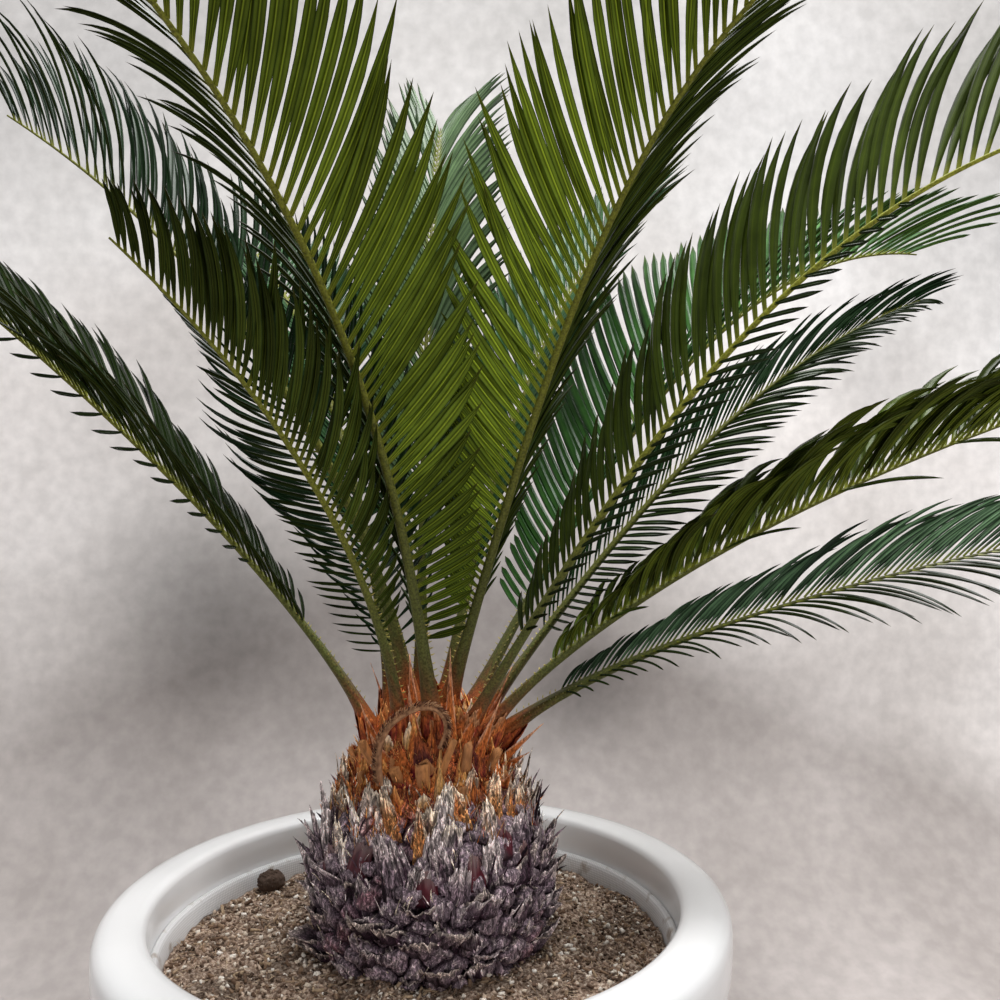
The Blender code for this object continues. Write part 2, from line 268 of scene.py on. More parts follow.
def darkSoil():
    look, tree, shader = newLook("darkSoil", 0.95, 0.1)
    fine = noiseOf(tree, 460.0, 6.0)
    colour = rampOf(tree, fine, [(0.32, (0.07, 0.042, 0.028)), (0.5, (0.30, 0.21, 0.155)),
                                 (0.62, (0.54, 0.42, 0.33)), (0.76, (0.80, 0.70, 0.60))])
    shade = rampOf(tree, noiseOf(tree, 38.0), [(0.34, grey(0.5)), (0.62, grey(1.15))])
    feed(tree, shader.inputs["Base Color"], timesOf(tree, colour, shade))
    bumpOf(tree, shader, fine, 0.002)
    return look


def grainedLook(name, roughness, specular, grain, low, high, bump, stretch=None):
    # the colour stored on the piece, broken up by a grain of its own scale
    look, tree, shader = newLook(name, roughness, specular)
    fine = noiseOf(tree, grain, 6.0, stretch)
    shade = rampOf(tree, fine, [(0.3, grey(low)), (0.7, grey(high))])
    feed(tree, shader.inputs["Base Color"], timesOf(tree, storedColour(tree, "tint"), shade))
    bumpOf(tree, shader, fine, bump)
    return look


def wrinkledBark(name, low, middle, high, pale, stretch):
    # dry papery skin: dark fibres with fine pale threads running over them
    look, tree, shader = newLook(name, 0.7, 0.25)
    fine = noiseOf(tree, 560.0, 6.0, (1, 1, 0.28), 1.0)
    shade = rampOf(tree, fine, [(0.34, grey(low)), (0.5, grey(middle)), (0.66, grey(high))])
    thread = rampOf(tree, noiseOf(tree, 210.0, 3.0, (1, 1, stretch), 1.6),
                    [(0.455, grey(0.90)), (0.5, grey(pale)), (0.545, grey(0.90))])
    body = timesOf(tree, storedColour(tree, "tint"), shade)
    feed(tree, shader.inputs["Base Color"], timesOf(tree, body, thread))
    bumpOf(tree, shader, fine, 0.0009)
    return look


def leafletLook(name, roughness, specular, ribGain, ribShare, paintedGrooveShade):
    # the stored place says how far across and along the leaflet a point is, and how clear
    # its rib is there
    look, tree, shader = newLook(name, roughness, specular)
    shader.inputs["IOR"].default_value = 1.3
    place = addNode(tree, "SeparateColor", Color=storedColour(tree, "place"))
    across, along, strong = place.outputs
    streaks = rampOf(tree, noiseOf(tree, 60.0, 3.0), [(0.3, grey(0.74)), (0.7, grey(1.24))])
    body = timesOf(tree, storedColour(tree, "tint"), streaks)
    # painted shade and light across the leaflet: darker on the rolled edges and, underneath, in the
    # grooves beside the rib, lighter on the raised halves between; the rib is lighter, partly its
    # own paler green and partly a painted highlight
    body = timesOf(tree, body, rampOf(tree, across, paintedGrooveShade))
    rib = timesOf(tree, rampOf(tree, across, [(0.0, grey(ribShare)), (0.2, grey(0.0))]), strong)
    lighter = timesOf(tree, storedColour(tree, "tint"), ribGain)
    body = mixOf(tree, "MIX", rib, body, lighter)
    foot = rampOf(tree, along, [(0.0, grey(0.85)), (0.10, grey(0.0))])
    yellowed = (0.22, 0.23, 0.03)
    feed(tree, shader.inputs["Base Color"], mixOf(tree, "MIX", foot, body, yellowed))
    return look


whiteGlaze, linerDots, soilLook = glazedWhite(), dottedLiner(), darkSoil()
barkLook = wrinkledBark("papyrusBark", 0.14, 0.85, 2.1, 3.0, 0.42)
foldLook = wrinkledBark("crumpledBark", 0.28, 0.92, 2.2, 2.8, 0.7)
smoothLook = grainedLook("maroonSkin", 0.42, 0.4, 300.0, 0.7, 1.3, 0.0003, (1, 1, 0.3))
woolLook = grainedLook("rustWool", 0.9, 0.15, 900.0, 0.42, 2.5, 0.0006, (1, 1, 0.4))
strawLook = grainedLook("cutStraw", 0.8, 0.2, 500.0, 0.6, 1.35, 0.0004, (1, 1, 0.2))
grainLook = grainedLook("soilGrains", 0.9, 0.15, 700.0, 0.75, 1.3, 0.0004)
stalkLook = grainedLook("stalkGreen", 0.5, 0.2, 800.0, 0.45, 1.45, 0.0003)
upperLook = leafletLook("leafletUpper", 0.27, 0.3, (2.4, 2.2, 1.7), 0.6,
                        [(0.3, grey(1.0)), (0.95, grey(0.6))])
underLook = leafletLook("leafletUnder", 0.5, 0.12, (3.0, 2.8, 2.4), 0.95,
                        [(0.22, grey(0.42)), (0.5, grey(0.98)), (0.82, grey(1.18)),
                         (1.0, grey(0.34))])
print("finishes ready")


cameraSet = {
    "place": (0.0, -0.636, rimTop + 0.257),
    "turn": 4.9,        # degrees to the right of straight ahead
    "dip": 0.9,         # degrees below level
    "roll": -0.6,
    "lens": 36.0, "sensor": 36.0,      # mm
    "reach": (0.02, 30.0),
}


def addCamera(s):
    data = bpy.data.cameras.new("viewCamera")
    data.lens, data.sensor_width = s["lens"], s["sensor"]
    data.clip_start, data.clip_end = s["reach"]
    made = bpy.data.objects.new("viewCamera", data)
    made.matrix_world = (Matrix.Translation(s["place"])
                         @ Matrix.Rotation(math.radians(-s["turn"]), 4, "Z")
                         @ Matrix.Rotation(math.radians(90 - s["dip"]), 4, "X")
                         @ Matrix.Rotation(math.radians(s["roll"]), 4, "Z"))
    bpy.context.scene.collection.objects.link(made)
    bpy.context.scene.camera = made


addCamera(cameraSet)


# radius and drop below the rim in mm: up the inside, over the rim, down the outside
planterSet = {
    "steps": 168,
    "outline": [
        (0, 268), (112, 268), (125.5, 225), (136.5, 180), (150, 130), (157, 80), (160.2, 27),
        (163.6, 26.6), (163.7, 14), (163.9, 5), (164.8, 2.2), (167.0, 0.8), (171, 0.2), (178, 0),
        (184, 0.5), (189, 1.9), (192.4, 4.4), (194.4, 8), (195, 13), (194.9, 22), (194, 34),
        (191.4, 48), (186.6, 64), (180, 82), (171.5, 106), (161.8, 136), (150, 176), (138.5, 216),
        (130.5, 246), (125.5, 266), (123.2, 274), (120.5, 278.4), (117, 279.8), (0, 280)],
}
linerSet = {
    "steps": 168,
    "outline": [
        (0, 231), (114, 231), (119.5, 225), (133, 180), (147, 130), (154, 80), (156.4, 48),
        (157.2, 36), (158.2, 28), (159.2, 25.4), (160.4, 24.3), (161.6, 24.1), (162.7, 24.7),
        (163.2, 25.7), (163.2, 26.7), (159.8, 26.7), (159.4, 40), (156.6, 80), (149.6, 130),
        (135.6, 180), (122, 228), (118, 234), (0, 234)],
}


def turnedPiece(name, s, look):
    shape, rings = Shape(), []
    for radius, drop in s["outline"]:
        around = ringAngles(s["steps"]) if radius else [0.0]
        rings.append([shape.point(polar(a, radius * mm, rimTop - drop * mm)) for a in around])
    for one, other in zip(rings, rings[1:]):
        for k in range(s["steps"]):
            n = (k + 1) % s["steps"]
            if len(one) == 1:
                shape.face(one[0], other[k], other[n])
            elif len(other) == 1:
                shape.face(one[n], one[k], other[0])
            else:
                shape.face(one[n], one[k], other[k], other[n])
    return shape.build(name, [look], crease=50)


keep(turnedPiece("planterShell", planterSet, whiteGlaze), "glossy_white", "planter")
keep(turnedPiece("linerShell", linerSet, linerDots), "liner_grey", "liner")
print("planter and liner made")


soilSet = {                # in mm
    "radius": 156.3,
    "drop": 33.0,          # below the rim
    "inner": 54.0,         # first ring, hidden under the trunk
    "rings": 63, "steps": 260,
    "wall": [(155.5, 60), (153.4, 80), (146.4, 130), (132.4, 180), (119, 225)],   # radius, drop
    "margin": 2, "clear": 66,      # no loose grain this near the wall or the trunk's middle
}
# count, size (mm), length over width, then the colours to draw from
crumbSet = {
    "soilGrains": (5200, (0.4, 1.4), (1.0, 2.4),
                   [(0.16, 0.10, 0.07), (0.40, 0.28, 0.205), (0.62, 0.48, 0.37),
                    (0.07, 0.045, 0.03)]),
    "perliteGrains": (860, (0.6, 1.9), (1.0, 1.7),
                      [(0.84, 0.76, 0.66), (0.64, 0.53, 0.42), (0.90, 0.84, 0.76)]),
    "barkChips": (700, (0.6, 1.6), (2.4, 4.6),
                  [(0.14, 0.085, 0.055), (0.26, 0.17, 0.11), (0.40, 0.29, 0.19)]),
}
fibreSet = {
    "count": 2300, "length": (2.5, 8), "half": (0.15, 0.35),      # mm
    "tints": [(0.52, 0.38, 0.25), (0.30, 0.19, 0.12), (0.66, 0.52, 0.37)],
}
clodSet = {
    "rows": 22, "steps": 34, "tint": (0.09, 0.06, 0.045),
    "bits": 90, "bitSize": (0.5, 1.1), "bitTint": (0.11, 0.075, 0.055),
}


def soilHeight(x, y):
    r = math.hypot(x, y) / (soilSet["radius"] * mm)
    rough = 0.0048 * wander(x * 26, y * 26, 8) + 0.0036 * wander(x * 75, y * 75, 23)
    fine = 0.0018 * wander(x * 210, y * 210, 63) + 0.0014 * wander(x * 480, y * 480, 156)
    heap = 0.002 * smooth(0.11, 0.075, math.hypot(x - trunkAxis.x, y))
    return rimTop - soilSet["drop"] * mm - 0.003 * smooth(0.8, 1.0, r) + rough + fine + heap


def soilPiece():
    shape, s, around = Shape(), soilSet, ringAngles(soilSet["steps"])
    rings = [[shape.point(Vector((0, 0, soilHeight(0, 0))))]]
    for k in range(s["rings"] + 1):
        radius = blend(s["inner"], s["radius"], k / s["rings"]) * mm
        spots = [polar(a, radius) for a in around]
        rings.append([shape.point(Vector((p.x, p.y, soilHeight(p.x, p.y)))) for p in spots])
    for radius, drop in s["wall"]:
        rings.append([shape.point(polar(a, radius * mm, rimTop - drop * mm)) for a in around])
    for j in range(len(around)):
        shape.face(rings[0][0], rings[1][j], rings[1][(j + 1) % len(around)])
    for one, other in zip(rings[1:], rings[2:]):
        shape.skin(other, one)
    shape.cap(rings[-1], flip=True)
    return shape.build("soilBed", [soilLook])


lumpCorners = [Vector((a, b, c)).normalized() for a in (-1, 1) for b in (-1, 1) for c in (-1, 1)]
lumpFaces = [(0, 1, 3, 2), (4, 6, 7, 5), (0, 4, 5, 1), (2, 3, 7, 6), (0, 2, 6, 4), (1, 5, 7, 3)]


def lump(shape, where, size, tint, draw, long):
    # a small cube knocked round, stretched by long and turned at random
    axis = Vector((draw.gauss(0, 1), draw.gauss(0, 1), draw.gauss(0, 1) + 0.01))
    turn = Matrix.Rotation(draw.uniform(0, 6.28), 3, axis)
    ids = [shape.point(where + turn @ Vector((p.x * size * long, p.y * size, p.z * size * 0.8))
                       * draw.uniform(0.8, 1.35), tint) for p in lumpCorners]
    for corners in lumpFaces:
        shape.face(*(ids[k] for k in corners))


def strand(shape, spot, way, bend, length, half, tint, slot=0):
    # thin tapering fibre with three sides
    last, steps = [], 4
    for i in range(steps):
        t = i / steps
        ahead = (way + bend * t).normalized()
        side = ahead.orthogonal().normalized()
        over = ahead.cross(side)
        ring = [shape.point(spot + (side * math.cos(a) + over * math.sin(a)) * half * (1 - 0.7 * t),
                            tint) for a in (0, 2.09, 4.19)]
        last = shape.grow(last, ring, slot)
        spot = spot + ahead * length / steps
    tip = shape.point(spot, tint)
    for j in range(3):
        shape.face(last[j], last[(j + 1) % 3], tip, slot=slot)


def onSoil(draw):
    # somewhere on the soil, clear of the trunk
    while True:
        spot = polar(draw.uniform(0, 2 * math.pi), math.sqrt(draw.random())
                     * (soilSet["radius"] * mm - soilSet["margin"] * mm))
        if math.hypot(spot.x - trunkAxis.x, spot.y) > soilSet["clear"] * mm:
            return Vector((spot.x, spot.y, soilHeight(spot.x, spot.y)))


def crumbPiece(name, count, sizes, long, tints, seed):
    draw, shape = random.Random(seed), Shape()
    for k in range(count):
        size = draw.uniform(*sizes) * mm
        lump(shape, onSoil(draw) + zUp * size * 0.35, size,
             mixColour(draw.choice(tints), draw.choice(tints), draw.random() * 0.4), draw,
             draw.uniform(*long))
    return shape.build(name, [grainLook])


def soilFibres():
    draw, shape, s = random.Random(25), Shape(), fibreSet
    for k in range(s["count"]):
        way = aim(draw.uniform(0, 360), draw.uniform(-8, 28))
        bend = aim(draw.uniform(0, 360), 0) * draw.uniform(0, 0.8) - zUp * 0.3
        tint = draw.choice(s["tints"])
        strand(shape, onSoil(draw) + zUp * 0.4 * mm, way, bend, draw.uniform(*s["length"]) * mm,
               draw.uniform(*s["half"]) * mm, tint)
    return shape.build("soilFibres", [grainLook])


def clodPiece():
    low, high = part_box("soil_clod")
    middle, size = (low + high) / 2, (high - low) / 2
    draw, shape, rows, s = random.Random(5), Shape(), [], clodSet
    for i in range(1, s["rows"]):
        down, row = math.pi * i / s["rows"], []
        for a in ringAngles(s["steps"]):
            way = polar(a, math.sin(down), math.cos(down))
            grow = 1 + 0.16 * noise.noise(way * 2.2) + 0.12 * noise.noise(way * 6) \
                + 0.05 * noise.noise(way * 15)
            row.append(shape.point(middle + way * size * grow, s["tint"]))
        rows.append(row)
    for one, other in zip(rows, rows[1:]):
        shape.skin(other, one)
    shape.cap(rows[0])
    shape.cap(rows[-1], flip=True)
    for k in range(s["bits"]):
        way = Vector((draw.gauss(0, 1), draw.gauss(0, 1), draw.gauss(0, 1))).normalized()
        lump(shape, middle + way * size, draw.uniform(*s["bitSize"]) * mm, s["bitTint"], draw, 1.4)
    return shape.build("soilClod", [grainLook])


keep(soilPiece(), "potting_soil", "soil")
for number, (name, (count, sizes, long, tints)) in enumerate(crumbSet.items()):
    keep(crumbPiece(name, count, sizes, long, tints, 21 + number), "potting_soil")
keep(soilFibres(), "potting_soil")
keep(clodPiece(), "potting_soil", "soil_clod")
print("soil made")


trunkSet = {
    # height above the rim and radius, in mm
    "outline": [(-74, 20), (-60, 50), (-42, 62), (-31, 67), (-12, 71), (11, 73), (30, 71),
                (49, 64), (62, 58), (75, 52), (87, 47), (97, 42), (106, 34), (113, 24),
                (118, 12), (120, 0)],
    "steps": 410, "rows": 160, "foot": -46, "top": 119.3,
    "pitch": 0.52,                       # height gained from one old leaf base to the next
    "spiralFoot": -76, "spiralTall": 200,
    "near": 34,                          # how many bases below and above are looked through
    "cellWide": 13.5, "cellTall": 10.0,  # half sizes of a leaf base
}
# smooth red patches left between the papery bases: bearing (degrees) and height (mm)
hollowSet = [(-129, 34), (-93, 22), (-70, 28), (-50, 40), (-38, 25), (-152, 26), (-10, 38),
             (14, 22), (38, 36), (63, 24), (88, 38), (112, 22), (139, 36), (166, 24)]
# bark, straw, hollows and wool
soot, ink = (0.013, 0.004, 0.009), (0.046, 0.024, 0.036)
slate, silver = (0.184, 0.134, 0.156), (0.62, 0.52, 0.50)
strawPale, strawBrown, lip = (0.62, 0.52, 0.40), (0.24, 0.14, 0.075), (0.58, 0.48, 0.42)
maroon, bloom, wine = (0.105, 0.006, 0.016), (0.40, 0.33, 0.30), (0.045, 0.002, 0.007)
rust, orange, honey = (0.24, 0.060, 0.016), (0.44, 0.135, 0.032), (0.52, 0.28, 0.085)
tan, ember = (0.46, 0.22, 0.075), (0.055, 0.014, 0.012)


def trunkRadius(z):
    return follow(trunkSet["outline"], z)


# number, bearing and height of each old leaf base, on a spiral that starts under the soil
oldBases = [(k, (k * goldenTurn) % (2 * math.pi), k * trunkSet["pitch"] + trunkSet["spiralFoot"])
            for k in range(int(trunkSet["spiralTall"] / trunkSet["pitch"]))]


def nearestBase(bearing, z, radius):
    # how far the nearest old leaf base is, how high this is above it, which one it is, and how
    # far the next one is, in half sizes of a base
    near = trunkSet["near"]
    first = max(0, int((z - oldBases[0][2]) / trunkSet["pitch"]) - near)
    best, nextFar, wide = (9.0, 0, 0), 9.0, trunkSet["cellWide"] / radius
    for k, turn, height in oldBases[first:first + 2 * near + 1]:
        across = abs(bearing - turn)
        across = min(across, 2 * math.pi - across) / wide
        if across < 1.6:
            above = (z - height) / trunkSet["cellTall"]
            far = math.hypot(across, above)
            if far < best[0]:
                best, nextFar = (far, above, k), best[0]
            elif far < nextFar:
                nextFar = far
    return best, nextFar


def coreSpot(shape, around, z):
    # a point of the core, its relief and colour set by the nearest old leaf base
    plain = trunkRadius(z)
    radius = max(plain, 30)
    lumpy = smooth(72, 46, z) * 0.65 + 0.35
    way = polar(around)
    p = way * plain + zUp * z
    warp = 7.0 * noise.noise(p * 0.05) + 3.0 * noise.noise(p * 0.14)
    rise = 7.0 * wander(p.x * 0.06, p.y * 0.06, p.z * 0.06 + 40)
    (far, above, k), nextFar = nearestBase((around + warp / radius) % (2 * math.pi), z + rise,
                                           radius)
    gap = nextFar - far
    fibre = abs(wander(p.x * 0.55 + k, p.y * 0.55, p.z * 0.13 + k))
    wrinkle = noise.noise(p * 0.30) + 0.6 * noise.noise(p * 0.75)
    relief = 3.4 * (1 - far ** 2) + 2.4 * above - 4.4 * math.exp(-gap / 0.10) \
        - 1.9 * fibre + 0.9 * wrinkle + 0.9 * wander(k * 3.7, 0.5, 0.5)
    relief = max(-6.0, relief) * lumpy
    crest = smooth(-1.5, 3.4, relief / lumpy)
    worn = smooth(0.16, 0.02, fibre) * smooth(0.12, 0.45, gap)
    ashy = smooth(-0.2, 0.45, wander(p.x * 0.09, p.y * 0.09, p.z * 0.09 + 9))
    # painted shade and highlight: near-black soot in the gaps between old bases, darker colour in
    # the hollows and lighter colour on the raised crests
    tint = mixColour(soot, mixColour(ink, slate, crest), smooth(0.02, 0.16, gap))
    tint = mixColour(tint, silver, worn * crest * (0.25 + 0.55 * ashy))
    tint = mixColour(tint, strawPale, crest * smooth(0.55, 1.0, above)
                     * smooth(-0.1, 0.4, wrinkle) * 0.8)
    if k % 7 == 3:                       # one base in seven is reddish
        tint = mixColour(tint, maroon, 0.5 * smooth(0.9, 0.2, far))
    red = smooth(56, 78, z + 14 * noise.noise(p * 0.05))
    tint = mixColour(tint, mixColour(maroon, rust, 0.4 + crest), red)
    return shape.point(trunkAxis + (way * (plain + relief) + zUp * z) * mm + zUp * rimTop, tint)


def trunkCore():
    shape, rings, s = Shape(), [], trunkSet
    for i in range(s["rows"] + 1):
        z = blend(s["foot"], s["top"], i / s["rows"])
        rings.append([coreSpot(shape, a, z) for a in ringAngles(s["steps"])])
    for one, other in zip(rings, rings[1:]):
        shape.skin(one, other)
    shape.cap(rings[0], flip=True)
    shape.cap(rings[-1])
    return shape.build("trunkCore", [foldLook])


# a leaf base has its own length and width (mm), point, ragged edge, narrowing, camber, lift,
# ridges, thickness, tints and foot colour, and these unless it says otherwise
leafBaseSet = {"columns": 14, "rows": 8, "twist": 0.16, "dark": 0.3}


def leafBase(shape, root, up, out, draw, **own):
    # ragged papery tongue: columns of fibre of uneven length, with a back face behind
    s = {**leafBaseSet, **own}
    columns, rows = s["columns"], s["rows"]
    side = up.cross(out).normalized()
    phase = draw.uniform(0, 60)
    fronts, backs = [], []
    twist = draw.uniform(-1, 1) * s["twist"]
    for c in range(columns + 1):
        a = 2 * c / columns - 1
        reach = (1 - s["point"] * abs(a) ** 1.25) * (1 + s["ragged"] * draw.uniform(-1, 0.6))
        front, back = [], []
        for r in range(rows + 1):
            t = r / rows
            high = s["length"] * reach * t
            wide = s["wide"] / 2 * (1 - s["narrow"] * (reach * t) ** 1.2)
            ridge = wander(a * 5.5 + phase, t * 1.1, phase)
            fold = s["camber"] * (1 - a * a) + s["lift"] * (t * reach) ** 2 \
                + s["ridge"] * ridge + 0.5 * wander(a * 2 + phase, t * 3, 7)
            thick = blend(s["thick"], 0.25, max(t, abs(a) ** 3))
            spot = root + (side * (a * wide + twist * high) + up * high + out * fold) * mm
            # painted highlight and shade: each base is lighter along its raised ridges and darker
            # in the furrows between them
            paintedRidgeLight = 0.5 + 0.9 * ridge + 0.35 * wander(a * 14 + phase, t * 2.5, 3)
            tint = mixColour(mixColour(s["tints"][0], s["tints"][1], paintedRidgeLight), s["tints"][2],
                             smooth(0.55, 1.0, t + 0.35 * ridge) * 0.7)
            # toward its root each base runs into its foot colour; where that is near-black soot, on
            # the bark, it is painted shade at the foot of the base
            tint = mixColour(s["foot"], tint, smooth(-0.05, s["dark"], t + 0.1 * ridge))
            front.append(shape.point(spot, tint))
            back.append(shape.point(spot - out * thick * mm, mixColour(tint, s["foot"], 0.5)))
        fronts.append(front)
        backs.append(back)
    for c in range(columns):
        for r in range(rows):
            shape.face(fronts[c][r], fronts[c + 1][r], fronts[c + 1][r + 1], fronts[c][r + 1])
            shape.face(backs[c][r + 1], backs[c + 1][r + 1], backs[c + 1][r], backs[c][r])
        shape.face(fronts[c][rows], fronts[c + 1][rows], backs[c + 1][rows], backs[c][rows])
        shape.face(backs[c][0], backs[c + 1][0], fronts[c + 1][0], fronts[c][0])
    for r in range(rows):
        shape.face(fronts[0][r], fronts[0][r + 1], backs[0][r + 1], backs[0][r])
        shape.face(fronts[-1][r + 1], fronts[-1][r], backs[-1][r], backs[-1][r + 1])


def barkSpot(bearing, z, sunk):
    return trunkAxis + polar(bearing, (trunkRadius(z) - sunk) * mm, rimTop + z * mm)


def leaning(bearing, z, tilt):
    # up along the trunk's side, leaning outward by tilt degrees, and outward square to that
    slope = math.atan2(trunkRadius(z + 8) - trunkRadius(z - 8), 16) + math.radians(tilt)
    up, out = spun(zUp, polar(bearing), slope)
    return up.normalized(), out.normalized()


def nearHollow(bearing, z):
    # whether a papery base that starts here would hide a smooth red patch
    for turn, height in hollowSet:
        across = abs((bearing - math.radians(turn) + math.pi) % (2 * math.pi) - math.pi) * 70
        if across < 8 and height - 21 < z < height + 3:
            return True
    return False


# what lies on the core: how many, between which heights, and their sizes, all in mm
paperySet = {
    "count": 122, "heights": (10, 60), "length": (26, 42), "wide": (11, 19), "curled": 0.28,
    "low": [(ink, slate, silver), (slate, silver, strawPale), (ink, slate, silver),
            (ink, silver, silver)],
    "high": [(ink, silver, strawPale), (strawBrown, silver, strawPale), (rust, tan, strawPale),
             (ink, strawBrown, strawPale)],
}
foldSet = {
    "count": 104, "heights": (-48, 22), "length": (10, 24), "wide": (12, 30), "thick": (2.0, 4.5),
    "tints": [(soot, slate, silver), (ink, slate, lip), (soot, slate, silver),
              (ink, slate, silver), (soot, ink, lip)],
}
shredSet = {
    "count": 1000, "heights": (-40, 84), "length": (4, 14), "half": (0.25, 0.65), "change": 46,
    "low": [slate, silver, ink, ink, strawPale], "high": [orange, strawPale, rust, tan, strawPale],
}
hookSet = {
    "count": 90, "heights": (-14, 52), "length": (12, 32), "half": (0.8, 2.3),
    "tints": [ink, slate, soot, slate],
}


def paperyBases():
    draw, shape, s = random.Random(3), Shape(), paperySet
    for k in range(s["count"]):
        t = (k + 0.5) / s["count"]
        z = blend(*s["heights"], t) + draw.uniform(-5, 5)
        bearing = k * goldenTurn + draw.uniform(-0.16, 0.16)
        up, out = leaning(bearing, z, draw.uniform(0, 14))
        curled = draw.random() < s["curled"]
        length, wide = draw.uniform(*s["length"]) * blend(1.0, 0.85, t), draw.uniform(*s["wide"])
        tints, foot = draw.choice(s["low"]), soot
        if t > 0.5:
            tints, foot = draw.choice(s["high"]), ember if t > 0.7 else soot
        if nearHollow(bearing, z):
            continue
        leafBase(shape, barkSpot(bearing, z, 2.5), up, out, draw, length=length, wide=wide,
                 point=0.62 if curled else 0.20, ragged=0.12 if curled else 0.15,
                 narrow=0.72 if curled else 0.40, camber=draw.uniform(1.5, 4.0), twist=0.3,
                 ridge=1.9, thick=1.5, lift=draw.uniform(7, 14) if curled else draw.uniform(0, 4.5),
                 tints=tints, foot=foot)
    return shape.build("paperyBases", [barkLook])


def lowerFolds():
    # squashed old bases round the foot, each a thick crumpled fold with a pale worn lip
    draw, shape, s = random.Random(8), Shape(), foldSet
    for k in range(s["count"]):
        z = blend(*s["heights"], k / s["count"]) + draw.uniform(-6, 6)
        bearing = k * goldenTurn + draw.uniform(-0.25, 0.25)
        up, out = leaning(bearing, z, draw.uniform(-4, 38))
        tints = draw.choice(s["tints"])
        # painted shade: each fold runs into near-black soot over most of its lower part
        leafBase(shape, barkSpot(bearing, z, draw.uniform(0.5, 3.0)), up, out, draw,
                 length=draw.uniform(*s["length"]), wide=draw.uniform(*s["wide"]),
                 point=draw.uniform(0.3, 0.75), ragged=0.14, narrow=draw.uniform(0.1, 0.6),
                 camber=draw.uniform(2.0, 8.0), lift=draw.uniform(-3.0, 5.0), ridge=3.0,
                 twist=0.55, thick=draw.uniform(*s["thick"]), tints=tints, foot=soot, dark=0.6)
    return shape.build("lowerFolds", [foldLook])


def maroonHollows():
    draw, shape = random.Random(14), Shape()
    for turn, z in hollowSet:
        bearing = math.radians(turn)
        up, out = leaning(bearing, z, 2)
        leafBase(shape, barkSpot(bearing, z - 4, 0.2), up, out, draw,
                 length=draw.uniform(20, 27), wide=draw.uniform(13, 17), point=0.14, ragged=0.1,
                 narrow=0.05, camber=2.6, lift=-1.5, ridge=0.7, thick=3.0,
                 tints=(wine, maroon, mixColour(maroon, bloom, 0.45)), foot=soot)
    return shape.build("maroonHollows", [smoothLook])


def barkShreds():
    draw, shape, s = random.Random(31), Shape(), shredSet
    for k in range(s["count"]):
        z = blend(*s["heights"], draw.random() ** 0.6)
        bearing = draw.uniform(0, 2 * math.pi)
        up, out = leaning(bearing, z, draw.uniform(-10, 30))
        side = up.cross(out)
        way = (up + side * draw.uniform(-0.6, 0.6) + out * draw.uniform(0, 0.35)).normalized()
        bend = out * draw.uniform(-0.2, 0.9) + side * draw.uniform(-0.7, 0.7)
        tint = draw.choice(s["low"] if z < s["change"] else s["high"])
        strand(shape, barkSpot(bearing, z, -draw.uniform(0, 4.0)), way, bend,
               draw.uniform(*s["length"]) * mm, draw.uniform(*s["half"]) * mm, tint)
    s = hookSet                              # stiff dark tips that hook outward
    for k in range(s["count"]):
        z = blend(*s["heights"], draw.random())
        bearing = k * goldenTurn + draw.uniform(-0.2, 0.2)
        up, out = leaning(bearing, z, draw.uniform(5, 45))
        side = up.cross(out)
        bend = out * draw.uniform(-0.7, 1.1) + side * draw.uniform(-0.6, 0.6)
        strand(shape, barkSpot(bearing, z, 1), up, bend, draw.uniform(*s["length"]) * mm,
               draw.uniform(*s["half"]) * mm, draw.choice(s["tints"]))
    return shape.build("barkShreds", [barkLook])


keep(trunkCore(), "armoured_bark", "trunk")
for piece in (paperyBases(), lowerFolds(), maroonHollows(), barkShreds()):
    keep(piece, "armoured_bark")
print("trunk made")


# top of the trunk: radius and height above the rim in mm, from the middle outward
domeOutline = [(0, 120), (14, 118), (26, 113), (36, 106), (44, 97), (50, 87), (57, 75), (64, 62)]
shoulder = 96      # mm above the rim; higher up, loose pieces lean as they do there


def crownPoint(x, y, sunk=7.0):
    z = follow(domeOutline, math.hypot(x, y)) - sunk
    return trunkAxis + Vector((x * mm, y * mm, rimTop + z * mm))


scaleLeafSet = {   # base x, y (mm), heading, rise (degrees), length and width (mm)
    "scale_leaf_1": (12, -36, 150, 82, 62, 9),
    "scale_leaf_2": (-8, -36, 110, 86, 40, 9),
    "scale_leaf_3": (27, -35, 4, 63, 44, 9),
    "scale_leaf_4": (44, -16, -10, 50, 34, 9),
    "scale_leaf_5": (-33, -20, 170, 76, 30, 9),
    "scale_leaf_6": (-10, -10, 100, 88, 42, 9),
}
slimLeafSet = [    # more of them, loose in the wool
    (15, -38, 18, 64, 64, 8), (47, -14, -6, 40, 16, 7), (44, -30, -34, 70, 10, 12),
    (-39, -24, 176, 84, 8, 10), (-27, -35, -160, 80, 22, 12),
    (34, -6, 6, 70, 44, 8), (-24, 30, 130, 70, 44, 9), (10, 38, 80, 74, 46, 9),
    (36, 24, 30, 66, 40, 9), (-40, 10, 176, 72, 12, 9),
]
frontWoolSet = [   # broad tongues over the front: bearing, height (mm), length, width, point, tints
    (-70, 66, 38, 20, 0.92, (rust, honey, tan)), (-86, 60, 46, 10, 0.3, (strawBrown, honey, tan)),
    (-112, 78, 24, 20, 0.5, (rust, orange, rust)), (-54, 80, 34, 22, 0.5, (ember, rust, orange)),
    (-127, 74, 26, 16, 0.5, (rust, orange, honey)), (-96, 84, 26, 24, 0.4, (ember, ember, rust)),
    (-38, 72, 30, 18, 0.6, (rust, orange, honey)), (-144, 70, 30, 16, 0.6, (rust, honey, tan)),
    (-103, 86, 36, 13, 0.75, (rust, orange, honey)), (-80, 90, 28, 16, 0.5, (ember, rust, rust)),
]
